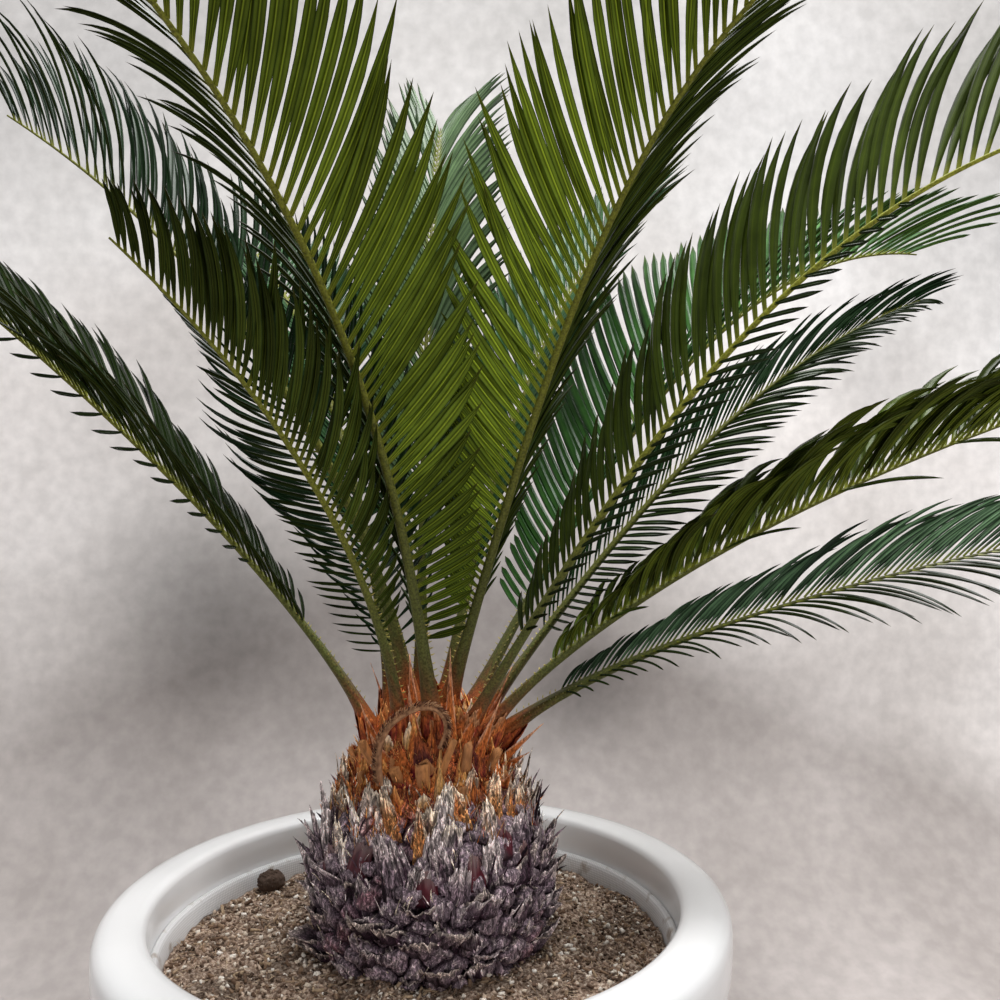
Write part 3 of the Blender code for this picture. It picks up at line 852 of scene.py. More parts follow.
stubSet = {        # bearing, height of the foot (mm), heading, rise (degrees), length, width (mm)
    "cut_stub_1": (-95, 74, -100, 72, 16, 10),
    "cut_stub_2": (-88, 76, -30, 66, 30, 5),
    "cut_stub_3": (-113, 77, -116, 57, 12, 8),
    "cut_stub_4": (-42, 79, -40, 60, 15, 8),
    "cut_stub_5": (-138, 83, -150, 62, 18, 8),
    "cut_stub_6": (-66, 75, -62, 76, 25, 7),
    "cut_stub_7": (120, 90, 120, 55, 20, 9),
    "cut_stub_8": (60, 90, 60, 55, 20, 9),
}


def woolScale(shape, foot, way, out, length, wide, tints, draw, ragged=0.05, lift=2.0,
              point=0.75):
    leafBase(shape, foot, way, out, draw, length=length, wide=wide, point=point, ragged=ragged,
             narrow=0.3 + 0.65 * point, camber=wide * 0.22, lift=lift, ridge=0.5, thick=1.4,
             tints=tints, foot=mixColour(rust, maroon, 0.5), columns=10)


def cutBlock(shape, foot, way, out, length, wide, thick, draw):
    # stump of an old stalk: four-sided, sawn across, fibres running up it
    side = way.cross(out).normalized()
    last, phase, steps = [], draw.uniform(0, 40), 6
    shade = draw.uniform(0.95, 1.5)
    outline = ((-1, -0.7), (-0.75, -1), (0.75, -1), (1, -0.7), (1, 0.7), (0.75, 1), (-0.75, 1),
               (-1, 0.7))
    for i in range(steps + 1):
        t = i / steps
        grow = 1.0 - 0.12 * t + 0.06 * wander(t * 3, phase, 0)
        ring = []
        for x, y in outline:
            wear = 1 + 0.26 * wander(x * 3 + phase, y * 3, t * 2)
            spot = foot + way * length * t * mm + (side * x * wide / 2 + out * y * thick / 2) \
                * grow * wear * mm
            if i == steps:
                spot += way * 3.0 * wander(x * 2, y * 2, phase) * mm
            light = 0.5 + 0.9 * wander(x * 4 + phase, y * 4, t)
            tint = mixColour(mixColour(strawBrown, tan, light), orange, 0.35)
            tint = mixColour(rust, tint, smooth(0.05, 0.45, t))
            ring.append(shape.point(spot, tuple(c * shade for c in tint)))
        last = shape.grow(last, ring)
    shape.cap(last)


def slimLeaf(shape, x, y, heading, rise, length, wide, draw):
    # pointed scale leaf with its broad side to the front
    way = aim(heading, rise)
    out = (Vector((x, y, 0)).normalized() + Vector((0, -0.6, 0))).normalized()
    out = squareTo(way, out)
    woolScale(shape, crownPoint(x, y, 9), way, out, length + 3, wide,
              (rust, mixColour(rust, orange, 0.7), mixColour(orange, strawPale, 0.45)), draw)


for number, (node, numbers) in enumerate(scaleLeafSet.items()):
    shape = Shape()
    slimLeaf(shape, *numbers, random.Random(40 + number))
    keep(shape.build(f"scaleLeaf{number + 1}", [woolLook]), "rust_scale_leaf", node)

for number, (node, numbers) in enumerate(stubSet.items()):
    bearing, height, heading, rise, length, wide = numbers
    shape, way, bearing = Shape(), aim(heading, rise), math.radians(bearing)
    cutBlock(shape, barkSpot(bearing, height, 6), way, squareTo(way, polar(bearing)), length + 5,
             wide * 0.85, wide * 0.55, random.Random(60 + number))
    keep(shape.build(f"cutStub{number + 1}", [strawLook]), "cut_stub_straw", node)


# woolly scales, sawn blocks and loose wool: how many, between which heights, and sizes in mm
woolScaleSet = {
    "count": 130, "heights": (56, 112), "length": (13, 26), "wide": (9, 17), "point": (0.3, 0.6),
    "tints": [(rust, orange, honey), (ember, rust, orange), (rust, orange, tan),
              (strawBrown, honey, strawPale), (ember, rust, honey)],
}
blockSet = {"count": 46, "heights": (58, 84), "length": (7, 15), "wide": (3, 7), "thick": (2, 4)}
woolSet = {
    "count": 1700, "heights": (58, 118), "length": (4, 11), "half": (0.2, 0.5),
    "tints": [orange, rust, rust, maroon, honey, tan],
}


def crownScales():
    draw, shape, s = random.Random(77), Shape(), woolScaleSet
    for k in range(s["count"]):
        height = blend(*s["heights"], k / s["count"])
        bearing = k * goldenTurn + draw.uniform(-0.1, 0.1)
        up, out = leaning(bearing, min(height, shoulder), draw.uniform(2, 20))
        tints = draw.choice(s["tints"])
        woolScale(shape, barkSpot(bearing, height, 5), up, out, draw.uniform(*s["length"]),
                  draw.uniform(*s["wide"]), tints, draw, 0.14, draw.uniform(0, 3),
                  draw.uniform(*s["point"]))
    for bearing, height, length, wide, point, tints in frontWoolSet:
        bearing = math.radians(bearing)
        up, out = leaning(bearing, height, 6)
        leafBase(shape, barkSpot(bearing, height, 3), up, out, draw, length=length, wide=wide,
                 point=point, ragged=0.1, narrow=0.75, camber=4.0, lift=1.0, ridge=0.9, thick=2.0,
                 tints=tints, foot=maroon)
    for numbers in slimLeafSet:
        slimLeaf(shape, *numbers, draw)
    return shape.build("crownScales", [woolLook])


def crownBlocks():
    draw, shape, s = random.Random(78), Shape(), blockSet
    for k in range(s["count"]):
        height = draw.uniform(*s["heights"])
        bearing = k * goldenTurn + draw.uniform(-0.15, 0.15)
        up, out = leaning(bearing, height, draw.uniform(6, 34))
        side = up.cross(out)
        way = (up + side * draw.uniform(-1.1, 1.1)).normalized()
        cutBlock(shape, barkSpot(bearing, height, 2), way, out, draw.uniform(*s["length"]),
                 draw.uniform(*s["wide"]), draw.uniform(*s["thick"]), draw)
    return shape.build("crownBlocks", [strawLook])


def crownWool():
    draw, shape, s = random.Random(79), Shape(), woolSet
    for k in range(s["count"]):
        height = blend(*s["heights"], draw.random())
        bearing = draw.uniform(0, 2 * math.pi)
        up, out = leaning(bearing, min(height, shoulder), draw.uniform(0, 40))
        side = up.cross(out)
        way = (up + side * draw.uniform(-0.7, 0.7) + out * 0.3).normalized()
        strand(shape, barkSpot(bearing, height, 0), way, side * draw.uniform(-1, 1) + out * 0.3,
               draw.uniform(*s["length"]) * mm, draw.uniform(*s["half"]) * mm,
               draw.choice(s["tints"]))
    return shape.build("crownWool", [woolLook])


keep(crownScales(), "rust_scale_leaf")
keep(crownWool(), "rust_scale_leaf")
keep(crownBlocks(), "cut_stub_straw")
print("crown made")


witheredSet = {
    # x, y, z in mm from the trunk's axis and the rim: the bend of the dried stalk
    "line": [(-30, -44, 80), (-31, -48, 92), (-30, -51, 105), (-25, -53, 116), (-17, -54, 123),
             (-8, -54, 127), (2, -53, 126.5), (8, -51, 120), (9, -49, 111), (5, -46, 101)],
    "steps": 70,
    "curl": Vector((-0.013, 0, rimTop + 0.09)),     # what it curls round, from the trunk's axis
    "half": (0.0024, 0.0013),                       # half thickness at foot and tip
    "brown": (0.22, 0.10, 0.052), "dark": (0.08, 0.032, 0.02), "pale": (0.46, 0.25, 0.13),
}


def alongLine(line, t):
    # smooth curve through the given points
    place = t * (len(line) - 1)
    i = min(len(line) - 2, int(place))
    f = place - i
    a, b, c, d = (Vector(line[max(0, min(len(line) - 1, i + k))]) for k in (-1, 0, 1, 2))
    return 0.5 * (2 * b + (c - a) * f + (2 * a - 5 * b + 4 * c - d) * f * f
                  + (3 * b - a - 3 * c + d) * f ** 3)


def witheredFrond():
    draw, shape, last, s = random.Random(9), Shape(), [], witheredSet
    brown, dark, pale = s["brown"], s["dark"], s["pale"]
    spine = [trunkAxis + zUp * rimTop + alongLine(s["line"], i / s["steps"]) * mm
             for i in range(s["steps"] + 1)]
    for i, spot in enumerate(spine):
        t = i / len(spine)
        way = (spine[min(len(spine) - 1, i + 1)] - spine[max(0, i - 1)]).normalized()
        over = way.cross(Vector((0, 1, 0))).normalized()
        if over.dot(spot - trunkAxis - s["curl"]) < 0:
            over = -over
        front = Vector((0, -1, 0))
        half = blend(*s["half"], t)
        ring = [shape.point(spot + (over * math.cos(a) + front * math.sin(a)) * half,
                            mixColour(brown, pale, 0.5 + wander(i * 0.6, a, 0)))
                for a in (0, 0.79, 1.57, 2.36, 3.14, 3.93, 4.71, 5.5)]
        last = shape.grow(last, ring)
        if 1 < i < len(spine) - 2:       # stubs of its dead leaflets
            for lean in (-0.5, 0.3, 1.1):
                turn = (over + front * lean + way * 0.35).normalized()
                strand(shape, spot + turn * half * 0.6, turn, way * 0.9 - over * 0.4,
                       draw.uniform(3.0, 4.8) * mm, 0.0007,
                       draw.choice([brown, dark, pale, pale]))
    shape.cap(last)
    return shape.build("witheredFrond", [strawLook])


keep(witheredFrond(), "cut_stub_straw", "withered_frond")
print("withered frond made")


# foot on the crown (mm), heading and sweep, rise of foot and tip (degrees), bend, length (mm),
# roll at foot and tip (degrees), longest leaflet (mm), bare part of the stalk, the tone, and how
# stout and how light the stalk is. left and right are the two rows of leaflets, looking from foot
# to tip with the upper side up; strayLeft and strayRight are a few loose leaflets more
frondSet = {
    "frond_left_low": dict(
        foot=(-33, -4), heading=174, rise=77, tipRise=38, bend=0.25, length=480, leaflet=104,
        bare=0.17, tone="gloss", stout=0.8, width=6.4, spacing=5.8, full=0.8, fade=(0.85, 1.0, 1.0),
        left=dict(tone="deep", angle=(34, 24), fold=(66, 62), curve=-4, droop=34, size=0.9,
                  width=3.4, spacing=5.0),
        right=dict(tone="deep", angle=(38, 26), fold=(40, 44), curve=22, lap=-34, width=3.8,
                   spacing=4.8),
        strayLeft=dict(tone="deep", angle=(44, 50), fold=(-56, -64), curve=16, droop=0,
                       size=(0.16, 0.2, 0.17), width=2.6, spacing=(11, 24), loose=4.5)),
    "frond_front_left": dict(
        foot=(-17, -24), heading=-142, rise=87, tipRise=38, bend=0.67, length=335, leaflet=88,
        bare=0.24, tone="deep", stout=0.9, width=7.6, spacing=5.6,
        left=dict(bare=0.2, angle=(60, 52, 46, 42), fold=(40, 38), curve=26, width=(4.0, 5.2, 5.6),
                  spacing=(5.4, 4.6), loose=1.4, shades=(0.7, 1.4), fade=(1.6, 1.7, 1.2, 0.8)),
        right=dict(bare=0.15, tone="gloss", angle=(84, 76, 68, 50, 30), fold=(-28, -24, -8, 20, 40),
                   curve=14, size=(1.1, 0.62, 0.46, 0.42, 0.3, 0.2), width=(2.3, 3.0),
                   spacing=(5.6, 6.2), fade=0.65)),
    "frond_left_high": dict(
        foot=(-12, 2), heading=163, rise=86, tipRise=33, bend=0.7, length=510, roll=(88, 4),
        leaflet=118, bare=0.075, tone="gloss", width=4.4, spacing=8.0, full=0.85, swell=3.4,
        left=dict(angle=(60, 58, 54, 44), fold=(10, 14, 117, 90, 80), curve=46,
                  size=(0.7, 0.72, 0.5, 0.95, 1.25), width=3.2, spacing=(6.0, 7.0, 9.6)),
        right=dict(angle=(66, 36), fold=(-6, 74), curve=26)),
    # its leaflets are painted darker near the crown and toward the tip, where they lie in shade,
    # and lighter in between
    "frond_front_left_tall": dict(
        foot=(3, -28), heading=-128, rise=80, tipRise=18, bend=1.4, length=540, leaflet=118,
        bare=0.11, tone="mid", width=(7.6, 6.2, 7.2), spacing=(5.3, 9.4),
        fade=(0.55, 1.6, 1.35, 0.82, 0.5),
        left=dict(angle=(88, 60, 50, 43, 36), fold=(38, 34), curve=14, droop=6),
        right=dict(tone="deep", angle=(18, 40), fold=(34, 18), curve=-40, droop=8, size=0.8,
                   width=3.2, spacing=8.0, loose=2.8, fade=1.0)),
    # its leaflets are painted lighter along the middle and darker toward the tip, where they lie in
    # shade
    "frond_front_right_tall": dict(
        foot=(8, -9), heading=-42, rise=69, tipRise=5, bend=3.4, length=540, leaflet=118, bare=0.13,
        tone="bright", width=(7.2, 6.0, 6.8), spacing=(4.9, 7.8), fade=(1.15, 1.6, 1.5, 0.75, 0.45),
        left=dict(tone="deep", angle=(24, 26), fold=(24, 14), curve=-26, droop=8, width=3.6,
                  spacing=5.4, loose=2.2, fade=1.2),
        right=dict(angle=(64, 38), fold=(38, 34), curve=10, droop=6)),
    "frond_right_tall": dict(
        foot=(18, -24), heading=-24, rise=57, tipRise=-11, bend=2.7, length=560, leaflet=116,
        bare=0.13, tone="olive", stalk=1.7, width=6.8, spacing=(5.8, 7.8), full=0.8, swell=1.9,
        fade=(0.8, 1.2, 1.2),
        left=dict(angle=(52, 56), fold=(66, 64), curve=36, droop=2),
        right=dict(tone="deep", angle=(40, 34), fold=(-50, -58), curve=-10, droop=6,
                   size=(0.5, 0.48, 0.24, 0.0, 0.0), width=3.2, spacing=(8, 14))),
    "frond_right_inner": dict(
        foot=(29, 3), heading=6.5, rise=51.5, tipRise=18.5, bend=2.1, length=434, roll=(-4, -4),
        leaflet=84, bare=0.17, tone="gloss", stalk=0.5, width=4.6, spacing=5.4,
        left=dict(angle=(40, 16), fold=(50, 44), curve=24, width=2.4, spacing=4.8, full=0.9),
        right=dict(tone="deep", angle=(80, 12), fold=(-22, 2), curve=10, droop=40, size=0.64,
                   width=3.4)),
    "frond_right_middle": dict(
        foot=(30, -15), heading=2, rise=61, tipRise=15, bend=0.31, length=530, roll=(10, 6),
        leaflet=96, bare=0.12, tone="deep", stout=0.7, stalk=0.75, width=6.8, spacing=5.8, full=0.8,
        left=dict(tone="olive", angle=(62, 46), fold=(50, 52), curve=78, loose=3.6,
                  shades=(0.5, 2.0)),
        right=dict(tone="olive", angle=(58, 42), fold=(56, 50), curve=72, droop=14, loose=3.2,
                   shades=(0.4, 1.7)),
        strayRight=dict(tone="olive", angle=(24, 20), fold=(-4, -14), curve=-26, droop=24, size=0.7,
                        width=4.6, spacing=86, loose=5)),
    "frond_right_low": dict(
        foot=(40, -2), heading=-15, rise=53.5, tipRise=7.5, bend=0.28, length=520, roll=(-18, -26),
        leaflet=94, bare=0.1, tone="sheen", stout=0.5, stalk=0.4, width=3.0, spacing=4.1, full=0.85,
        # painted sheen: a wide range of shades from leaflet to leaflet paints streaks of sheen
        # along this row
        left=dict(angle=(44, 26), fold=(30, 30), curve=34, lap=6, loose=0.6, shades=(0.25, 1.9)),
        right=dict(tone="deep", angle=(36, 20), fold=(4, 0), curve=-4, droop=34, lap=-50, size=0.7,
                   width=3.8, spacing=7.6)),
    "frond_back_right": dict(
        foot=(23, 19), heading=39, sweep=-38, rise=52, tipRise=-5, bend=3.6, length=543,
        leaflet=100, bare=0.15, tone="fresh", width=6.6, full=0.96, blunt=True,
        left=dict(angle=(58, 46), curve=8, size=(1.2, 1.5, 1.6, 1.3, 1.2)),
        right=dict(angle=(60, 40), curve=30)),
    "frond_back_upright": dict(
        foot=(9, 14), heading=50, rise=72, tipRise=36, bend=1.3, length=440, leaflet=108, bare=0.2,
        tone="blue", stout=0.7, stalk=0.6, width=6.2, full=0.9,
        left=dict(angle=(48, 20), curve=6),
        right=dict(angle=(36, 22), curve=-34)),
    "frond_back_centre": dict(
        foot=(-5, 18), heading=82, rise=85, tipRise=48, bend=1.5, length=470, leaflet=106, bare=0.2,
        tone="pale", stout=0.6, stalk=0.6, width=6.0, full=0.9,
        left=dict(angle=(48, 18), curve=4),
        right=dict(angle=(34, 20), curve=-36)),
    "frond_back_left": dict(
        foot=(-22, 17), heading=118, rise=78, tipRise=28, bend=1.0, length=470, leaflet=90,
        bare=0.2, tone="blue", width=5.6),
}
plainFrond = dict(sweep=0, roll=(0, 0), stout=1.0, stalk=1.0, left={}, right={})
fronds = {node: {**plainFrond, **own} for node, own in frondSet.items()}

# what a row has unless its frond says otherwise: angle to the stalk, fold up out of the flat,
# turn toward the tip, droop and lap (degrees), spacing and width (mm), where the leaflets begin
# to shorten, how fast they grow from the foot, size, looseness, blunt tips, range of shades, and
# how light the row is along the frond, partly its tone and partly painted light and shade, and
# where on the stalk it ends; angle, fold, spacing, width, size and that lightness may hold several
# values, spaced evenly from foot to tip
rowSet = dict(angle=(70, 36), fold=(36, 34), curve=14, droop=8, lap=12, spacing=6.4, width=6.6,
              full=0.6, swell=2.1, size=1.0, loose=1.0, blunt=False, shades=(0.80, 1.22), fade=1.0,
              end=0.985)
leafletSet = {
    "thick": 0.0009, "sections": 10, "shortest": 0.008,     # metres
    "stagger": 0.003,                                       # the two rows alternate by this share
    "astray": 0.03, "angleStray": (-9, 9), "foldStray": (-14, 8),       # how many, and how far
    "angleSway": 1.2, "foldSway": 1.8, "angleDrift": 4, "foldDrift": 5,
}
stalkSet = {"steps": 110, "sides": 14, "lineSteps": 400, "young": (0.16, 0.165, 0.018),
            "old": (0.090, 0.098, 0.022), "brown": (0.11, 0.060, 0.020)}
thornSet = {"spacing": 4.6, "length": (1.8, 3.2), "half": 0.00055,      # spacing and length in mm
            "tints": [(0.42, 0.34, 0.10), (0.34, 0.30, 0.08)]}
toneSet = {               # upper side, underside, and how much the rib stands out
    "deep": ((0.015, 0.028, 0.006), (0.034, 0.048, 0.006), 0.35),
    "gloss": ((0.009, 0.026, 0.008), (0.030, 0.048, 0.008), 0.35),
    "olive": ((0.040, 0.060, 0.008), (0.070, 0.090, 0.010), 0.5),
    # painted light: a lighter underside, for leaflets lit through from behind
    "bright": ((0.042, 0.066, 0.008), (0.102, 0.146, 0.012), 1.0),
    # painted light: a lighter underside, for leaflets lit through from behind
    "mid": ((0.040, 0.062, 0.008), (0.092, 0.130, 0.012), 0.8),
    # painted sheen: a lighter green for glossy upper sides that catch the light
    "sheen": ((0.041, 0.077, 0.039), (0.040, 0.066, 0.022), 0.5),
    "fresh": ((0.042, 0.122, 0.028), (0.076, 0.156, 0.030), 0.4),
    "blue": ((0.034, 0.088, 0.034), (0.060, 0.110, 0.038), 0.6),
    "pale": ((0.080, 0.130, 0.062), (0.100, 0.150, 0.068), 0.6),
}


def frondWay(s, t):
    return aim(s["heading"] + s["sweep"] * t, blend(s["rise"], s["tipRise"], t ** s["bend"]))


def frondLine(s):
    here, line, steps = crownPoint(*s["foot"]), [], stalkSet["lineSteps"]
    for i in range(steps + 1):
        line.append((here.copy(), frondWay(s, i / steps)))
        here = here + frondWay(s, (i + 0.5) / steps) * (s["length"] * mm / steps)
    return line


def frondFrame(s, line, t):
    # place on the stalk, the way it grows, and the two ways square to it
    spot, way = line[min(len(line) - 1, max(0, round(t * (len(line) - 1))))]
    side = Vector((way.y, -way.x, 0)).normalized()
    up = side.cross(way).normalized()
    return spot, way, *spun(side, up, math.radians(blend(*s["roll"], smooth(0.35, 0.65, t))))


def leafletReach(u, full, swell):
    # share of the longest leaflet's length
    grow = min(1.0, 0.22 + swell * u)
    return grow * (1.0 if u < full else 1.0 - 0.62 * ((u - full) / (1 - full)) ** 1.5)


def stalkHalf(t):
    # half thickness of the stalk in metres: a slow taper from a swollen foot
    return 0.0054 * (1 - t) ** 0.9 * (0.52 + 0.48 * math.exp(-t * 12)) + 0.0008 \
        + 0.0050 * math.exp(-t * 30)


def addStalk(shape, s, line):
    # rusty wool at the foot, then brown, then green; flatter on the upper side
    last, young = [], tuple(c * s["stalk"] for c in stalkSet["young"])
    for i in range(stalkSet["steps"] + 1):
        t = i / stalkSet["steps"]
        high = t * s["length"]
        spot, _, across, above = frondFrame(s, line, t)
        half, ring = stalkHalf(t) * blend(1.0, s["stout"], smooth(0.1, 0.4, t)), []
        for a in ringAngles(stalkSet["sides"]):
            wool = wander(a * 2 + s["heading"], high * 0.12, 1)
            gutter = 1 - 0.5 * max(0.0, math.sin(a)) ** 2 * smooth(0.25, 0.0, t)
            flat = (0.55 if math.sin(a) > 0 else 0.95) * gutter
            tint = mixColour(stalkSet["old"], young, smooth(0.12, 0.5, t))
            tint = mixColour(stalkSet["brown"], tint, smooth(20, 60, high + 30 * wool))
            tint = mixColour(mixColour(rust, orange, 0.3 + wool), tint,
                             smooth(12, 34, high + 16 * wool))
            ring.append(shape.point(spot + across * math.cos(a) * half
                                    + above * math.sin(a) * half * flat, tint, (0, t, 0)))
        last = shape.grow(last, ring, 1)
    shape.cap(last, 1)


def addThorns(shape, s, line, draw):
    # short stiff spines up both sides of the bare stalk
    step = thornSet["spacing"]
    for k in range(5, int(s["bare"] * s["length"] / step) + 5):
        t = (k + draw.uniform(-0.2, 0.2)) * step / s["length"]
        spot, way, across, above = frondFrame(s, line, t)
        for hand in (-1, 1):
            foot = spot + across * hand * stalkHalf(t) * 0.86 + above * stalkHalf(t) * 0.34
            out = (across * hand + above * 0.45 + way * 0.3).normalized()
            strand(shape, foot, out, way * 0.25, draw.uniform(*thornSet["length"]) * mm,
                   thornSet["half"], draw.choice(thornSet["tints"]), slot=1)


# across the blade: share of the half width, height in share of thickness, on the underside
bladeSection = [(-1.0, -0.85, False), (-0.55, 0.42, False), (0.0, -0.05, False),
                (0.55, 0.42, False), (1.0, -0.85, False), (0.62, -0.40, True), (0.2, -0.45, True),
                (0.0, -1.15, True), (-0.2, -0.45, True), (-0.62, -0.40, True)]
underFaces = range(4, 10)


def bladeShare(t, blunt):
    # share of the full width, from the narrow foot to the tip
    start = 0.42 + 0.58 * smooth(0.0, 0.38, t)
    if blunt:
        return start * (1 - smooth(0.86, 1.02, t) * 0.75)
    return start * (1 - smooth(0.68, 1.04, t) * 0.93)


def addLeaflet(shape, root, along, broad, thin, reach, width, tones, look, draw):
    # look: turn toward the tip and droop (radians), shade, blunt end, strength of the rib
    curve, droop, shade, blunt, rib = look
    steps, here, last = leafletSet["sections"], root.copy(), []
    upper, under = [tuple(c * shade for c in tone) for tone in tones]
    curl = draw.uniform(-0.10, 0.10)
    for i in range(steps + 1):
        t = i / steps
        ahead, over = spun(along, broad, curve * t ** 1.7)
        normal, ahead = spun(thin, ahead, droop * t + 0.03)
        over, normal = spun(over, normal, curl * t)
        if i == steps:
            break
        share = bladeShare(t, blunt)
        thick = leafletSet["thick"] * (0.6 + 0.4 * share)
        tipDark = 1 - 0.30 * smooth(0.55, 1.0, t)
        ring = []
        for x, y, below in bladeSection:
            tint = under if below else upper
            ring.append(shape.point(here + over * x * width / 2 * share + normal * y * thick,
                                    tuple(c * tipDark for c in tint), (abs(x), t, rib)))
        if last:
            for j in range(len(ring)):
                n = (j + 1) % len(ring)
                shape.face(last[j], last[n], ring[n], ring[j], slot=2 if j in underFaces else 0)
        else:
            shape.cap(ring, 0, flip=True)
        last = ring
        here += ahead * reach / steps
    tip = shape.point(here, mixColour(upper, (0.10, 0.06, 0.02), 0.5), (0.6, 1.0, rib))
    for j in range(len(last)):
        shape.face(last[j], last[(j + 1) % len(last)], tip, slot=2 if j in underFaces else 0)


def spread(values, u):
    # the value at u, from one value or from several spaced evenly from foot to tip
    values = values if isinstance(values, tuple) else (values, values)
    i = min(int(u * (len(values) - 1)), len(values) - 2)
    return blend(values[i], values[i + 1], u * (len(values) - 1) - i)


def swayed(draw, degrees, kind, drift, loose, astray):
    # the row's angle or fold as one leaflet has it, and well off it where the leaflet strays
    degrees = degrees + leafletSet[kind + "Drift"] * drift \
        + draw.gauss(0, leafletSet[kind + "Sway"]) * loose
    if astray:
        degrees += draw.uniform(*leafletSet[kind + "Stray"]) * min(1.0, loose)
    return math.radians(degrees)


def addRow(shape, s, line, hand, own, draw):
    row = {**rowSet, **s, **own}
    bare, blade, loose = row["bare"], row["end"] - row["bare"], row["loose"]
    phase, places, u = draw.uniform(0, 90), [], 0.0
    while u < 1:
        step = spread(row["spacing"], u) / (blade * s["length"])
        places.append(min(1.0, u + step / 2))
        u += step
    for k, u in enumerate(places):
        drift = wander(k * 0.35, phase, 0) * min(1.0, loose)     # neighbours stray together
        astray = draw.random() < leafletSet["astray"]
        offset = leafletSet["stagger"] if hand > 0 else 0
        spot, way, across, above = frondFrame(s, line, bare + blade * u + offset)
        angle = swayed(draw, spread(row["angle"], u ** 0.8), "angle", drift, loose, astray)
        fold = swayed(draw, spread(row["fold"], u), "fold", drift, loose, astray)
        away = across * hand * math.cos(fold) + above * math.sin(fold)
        along = way * math.cos(angle) + away * math.sin(angle)
        broad = squareTo(along, way)
        thin = along.cross(broad) * -hand
        if thin.dot(above) < 0:
            thin = -thin
        broad, thin = spun(broad, thin, math.radians(row["lap"]))
        reach = s["leaflet"] * mm * leafletReach(u, row["full"], row["swell"]) \
            * draw.uniform(0.95, 1.04) * (1 + 0.05 * drift) * spread(row["size"], u)
        width = spread(row["width"], u) * mm * (0.62 + 0.38 * smooth(0, 0.25, u)) \
            * (1 - 0.35 * smooth(0.6, 1.0, u)) * draw.uniform(0.92, 1.06)
        half = stalkHalf(bare + blade * u)
        root = spot + across * hand * half * 0.6 + above * half * 0.25
        *tones, rib = toneSet[row["tone"]]
        shade = blend(*row["shades"], draw.random()) + 0.25 * drift
        # painted light and shade along the frond, on top of the row's tone
        shade *= spread(row["fade"], u)
        look = (math.radians(row["curve"]) * draw.uniform(0.8, 1.2),
                math.radians(row["droop"]) * draw.uniform(0.7, 1.3), shade, row["blunt"], rib)
        if reach > leafletSet["shortest"]:
            addLeaflet(shape, root, along, broad, thin, reach, width, tones, look, draw)


def frondPiece(node, s, seed):
    draw, shape, line = random.Random(seed), Shape(), frondLine(s)
    addStalk(shape, s, line)
    addThorns(shape, s, line, draw)
    for side, hand in (("left", -1), ("right", 1), ("strayLeft", -1), ("strayRight", 1)):
        if side in s:
            addRow(shape, s, line, hand, s[side], draw)
    words = node.split("_")
    name = words[0] + "".join(word.capitalize() for word in words[1:])
    return shape.build(name, [upperLook, stalkLook, underLook], crease=50)   # slots 0, 1 and 2


def woolFeet():
    # rusty swelling that wraps the foot of each stalk
    draw, shape = random.Random(52), Shape()
    for s in fronds.values():
        way, (x, y) = frondWay(s, 0.0), s["foot"]
        out = Vector((x, y, 0)).normalized()
        for turn in (-40, 0, 40):
            face = squareTo(way, Matrix.Rotation(math.radians(turn), 3, "Z") @ out)
            leafBase(shape, crownPoint(x, y, 14) + face * 6.0 * mm, way, face, draw,
                     length=draw.uniform(22, 30), wide=draw.uniform(16, 20), point=0.32,
                     ragged=0.12, narrow=0.4, camber=3.0, lift=-1.5, ridge=0.7, thick=2.0,
                     tints=draw.choice([(maroon, rust, orange), (rust, orange, strawBrown),
                                        (maroon, rust, rust)]), foot=maroon)
    return shape.build("woolFeet", [woolLook])


keep(woolFeet(), "rust_scale_leaf")
for number, (node, s) in enumerate(fronds.items()):
    keep(frondPiece(node, s, 100 + number), "leaf_green", node)
print("fronds made:", len(fronds))


# metres: the wall's distance, the bend up into it, half the width, the front edge, the height
roomSet = {"wall": 0.55, "bend": 0.3, "half": 3.0, "front": -3.0, "height": 2.8, "steps": 12}
# painted shadows where the plant shades the wall: place across and up it, reach (m), and how dark
paintedWallShadows = [(-0.24, 0.41, 0.18, 0.52), (0.20, 0.29, 0.11, 0.62), (0.56, 0.66, 0.12, 0.80)]


def pickShader(tree, output, pick, first, other):
    # the other shader shows where pick is one
    mix = addNode(tree, "MixShader")
    for socket, value in zip(mix.inputs, (pick, first.outputs[0], other.outputs[0])):
        feed(tree, socket, value)
    feed(tree, tree.nodes[output].inputs["Surface"], mix.outputs[0])


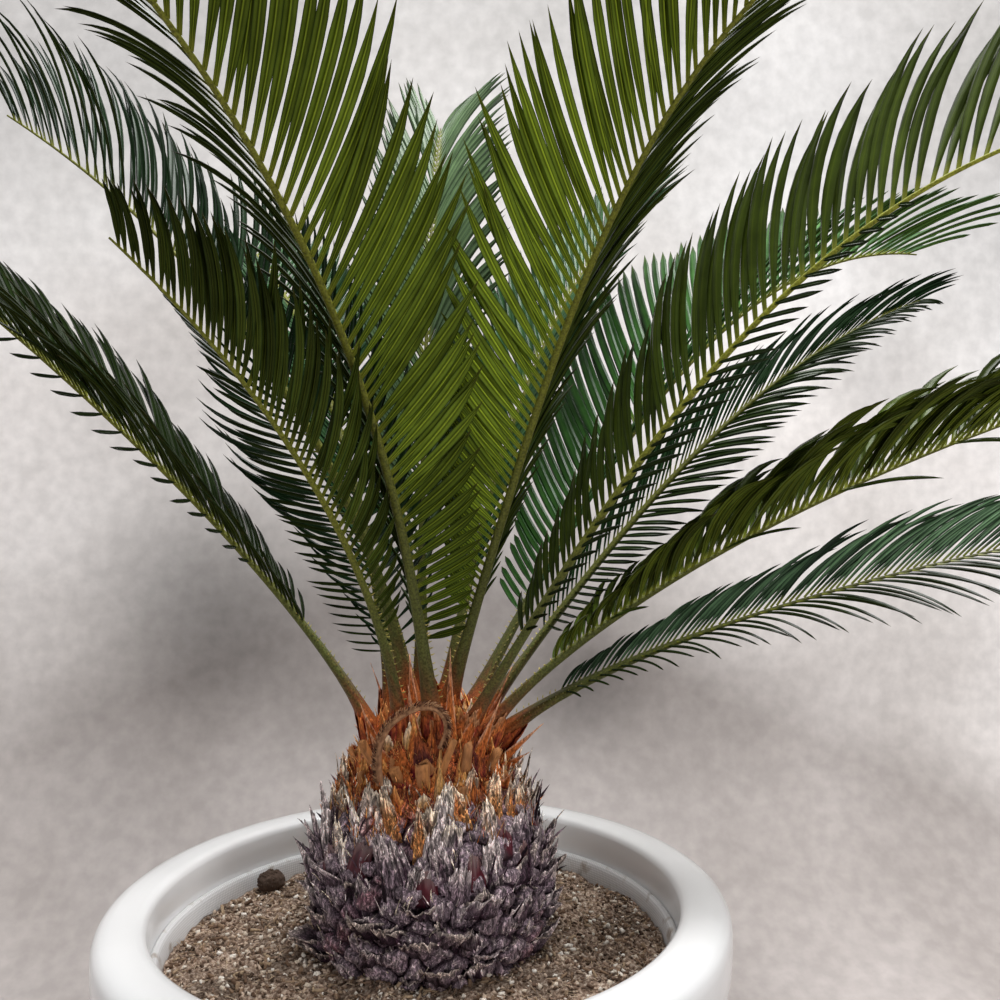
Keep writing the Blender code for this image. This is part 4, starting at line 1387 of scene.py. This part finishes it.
def plasterPale():
    look, tree, shader = newLook("plasterPale", 0.9, 0.1)
    base = rampOf(tree, noiseOf(tree, 4.6, 5.0), [(0.34, (0.595, 0.575, 0.562)),
                                                  (0.66, (0.725, 0.708, 0.70))])
    # painted light and shade: the plaster is painted darker low down behind the plant, where the
    # plant's shadow falls, lighter beside it and out to the sides, and a little darker high up
    place = objectPlace(tree)
    x, _, z = addNode(tree, "SeparateXYZ", Vector=place).outputs
    beside = mathOf(tree, "SMOOTH_MAX", x, mathOf(tree, "MULTIPLY", x, -1.0), 0.3)
    near = mathOf(tree, "MINIMUM", beside, 0.75)
    paintedShadeFall = addNode(tree, "MapRange", Value=mathOf(tree, "MULTIPLY_ADD", near, 0.45, z))
    paintedShadeFall.inputs["From Max"].default_value = 1.4
    shade = rampOf(tree, paintedShadeFall.outputs[0],
                   [(0.14, (0.62, 0.58, 0.565)), (0.31, (0.54, 0.505, 0.49)),
                    (0.38, (0.93, 0.90, 0.885)), (0.48, (1.17, 1.15, 1.14)),
                    (0.61, (1.18, 1.16, 1.15)), (0.72, grey(1.03)), (0.83, grey(0.78)),
                    (1.0, grey(0.70))])
    # painted light: the plaster is painted lighter out to the sides
    paintedSideLight = rampOf(tree, beside, [(0.28, grey(0.98)), (0.44, grey(1.13))])
    base = timesOf(tree, timesOf(tree, base, shade), paintedSideLight)
    # painted shadows: each darkens the plaster more the nearer it is to its place
    for across, up, reach, dark in paintedWallShadows:
        far = addNode(tree, "VectorMath", operation="DISTANCE")
        feed(tree, far.inputs[0], place)
        feed(tree, far.inputs[1], (across, roomSet["wall"], up))
        fade = addNode(tree, "MapRange", interpolation_type="SMOOTHSTEP",
                       Value=far.outputs["Value"])
        fade.inputs["From Max"].default_value = reach
        fade.inputs["To Min"].default_value = dark
        base = timesOf(tree, base, fade.outputs[0])
    small = rampOf(tree, noiseOf(tree, 60.0, 8.0), [(0.35, grey(0.90)), (0.7, grey(1.07))])
    feed(tree, shader.inputs["Base Color"], timesOf(tree, base, small))
    # seen from behind, the sweep lets the view through
    backside = addNode(tree, "NewGeometry").outputs["Backfacing"]
    pickShader(tree, "Material Output", backside, shader, addNode(tree, "BsdfTransparent"))
    return look


def addRoom(s):
    shape = Shape()
    for x, y in ((-1, 0), (1, 0), (1, 1), (-1, 1)):      # floor behind the wall
        shape.point(Vector((x * s["half"], blend(s["wall"] - s["bend"], s["half"], y), -0.001)))
    shape.face(0, 1, 2, 3)
    profile = [(s["front"], 0.0), (s["wall"] - s["bend"], 0.0)]
    for k in range(1, s["steps"] + 1):
        a = math.pi / 2 * k / s["steps"]
        profile.append((s["wall"] - s["bend"] * (1 - math.sin(a)), s["bend"] * (1 - math.cos(a))))
    profile.append((s["wall"], s["height"]))
    rows = [[shape.point(Vector((x, y, z))) for x in (-s["half"], s["half"])] for y, z in profile]
    for one, other in zip(rows, rows[1:]):
        shape.face(one[0], one[1], other[1], other[0])
    shape.build("roomSweep", [plasterPale()])


lampSet = {
    "skyLamp": dict(place=(0.35, 0.0, 2.3), size=1.1, power=64.0, target=(0, 0, 0.5)),
    "frontLamp": dict(place=(1.4, -2.0, 1.05), size=0.6, power=15.5, target=(0, 0, 0.5)),
    "leftLamp": dict(place=(-2.0, -1.0, 1.4), size=1.2, power=10.0, target=(0, 0, 0.45)),
}


def addLamp(name, s):
    data = bpy.data.lights.new(name, "AREA")
    data.shape, data.size, data.energy = "SQUARE", s["size"], s["power"]
    made = bpy.data.objects.new(name, data)
    made.location = s["place"]
    way = Vector(s["target"]) - Vector(s["place"])
    made.rotation_euler = way.to_track_quat("-Z", "Y").to_euler()
    bpy.context.scene.collection.objects.link(made)


# colour and strength: as it lights the plant, and as the camera sees it
worldSet = {"lit": ((0.95, 0.97, 1.0, 1.0), 0.18), "seen": ((0.80, 0.78, 0.77, 1.0), 0.8)}


def addWorld(s):
    world = bpy.data.worlds.new("softStudio")
    bpy.context.scene.world = world
    world.use_nodes = True
    tree = world.node_tree
    lit, seen = tree.nodes["Background"], addNode(tree, "Background")
    for node, name in ((lit, "lit"), (seen, "seen")):
        node.inputs["Color"].default_value, node.inputs["Strength"].default_value = s[name]
    toCamera = addNode(tree, "LightPath").outputs["Is Camera Ray"]
    pickShader(tree, "World Output", toCamera, lit, seen)


addRoom(roomSet)
for name, s in lampSet.items():
    addLamp(name, s)
addWorld(worldSet)
bpy.context.scene.view_settings.view_transform = "Standard"
print("room and lamps made")
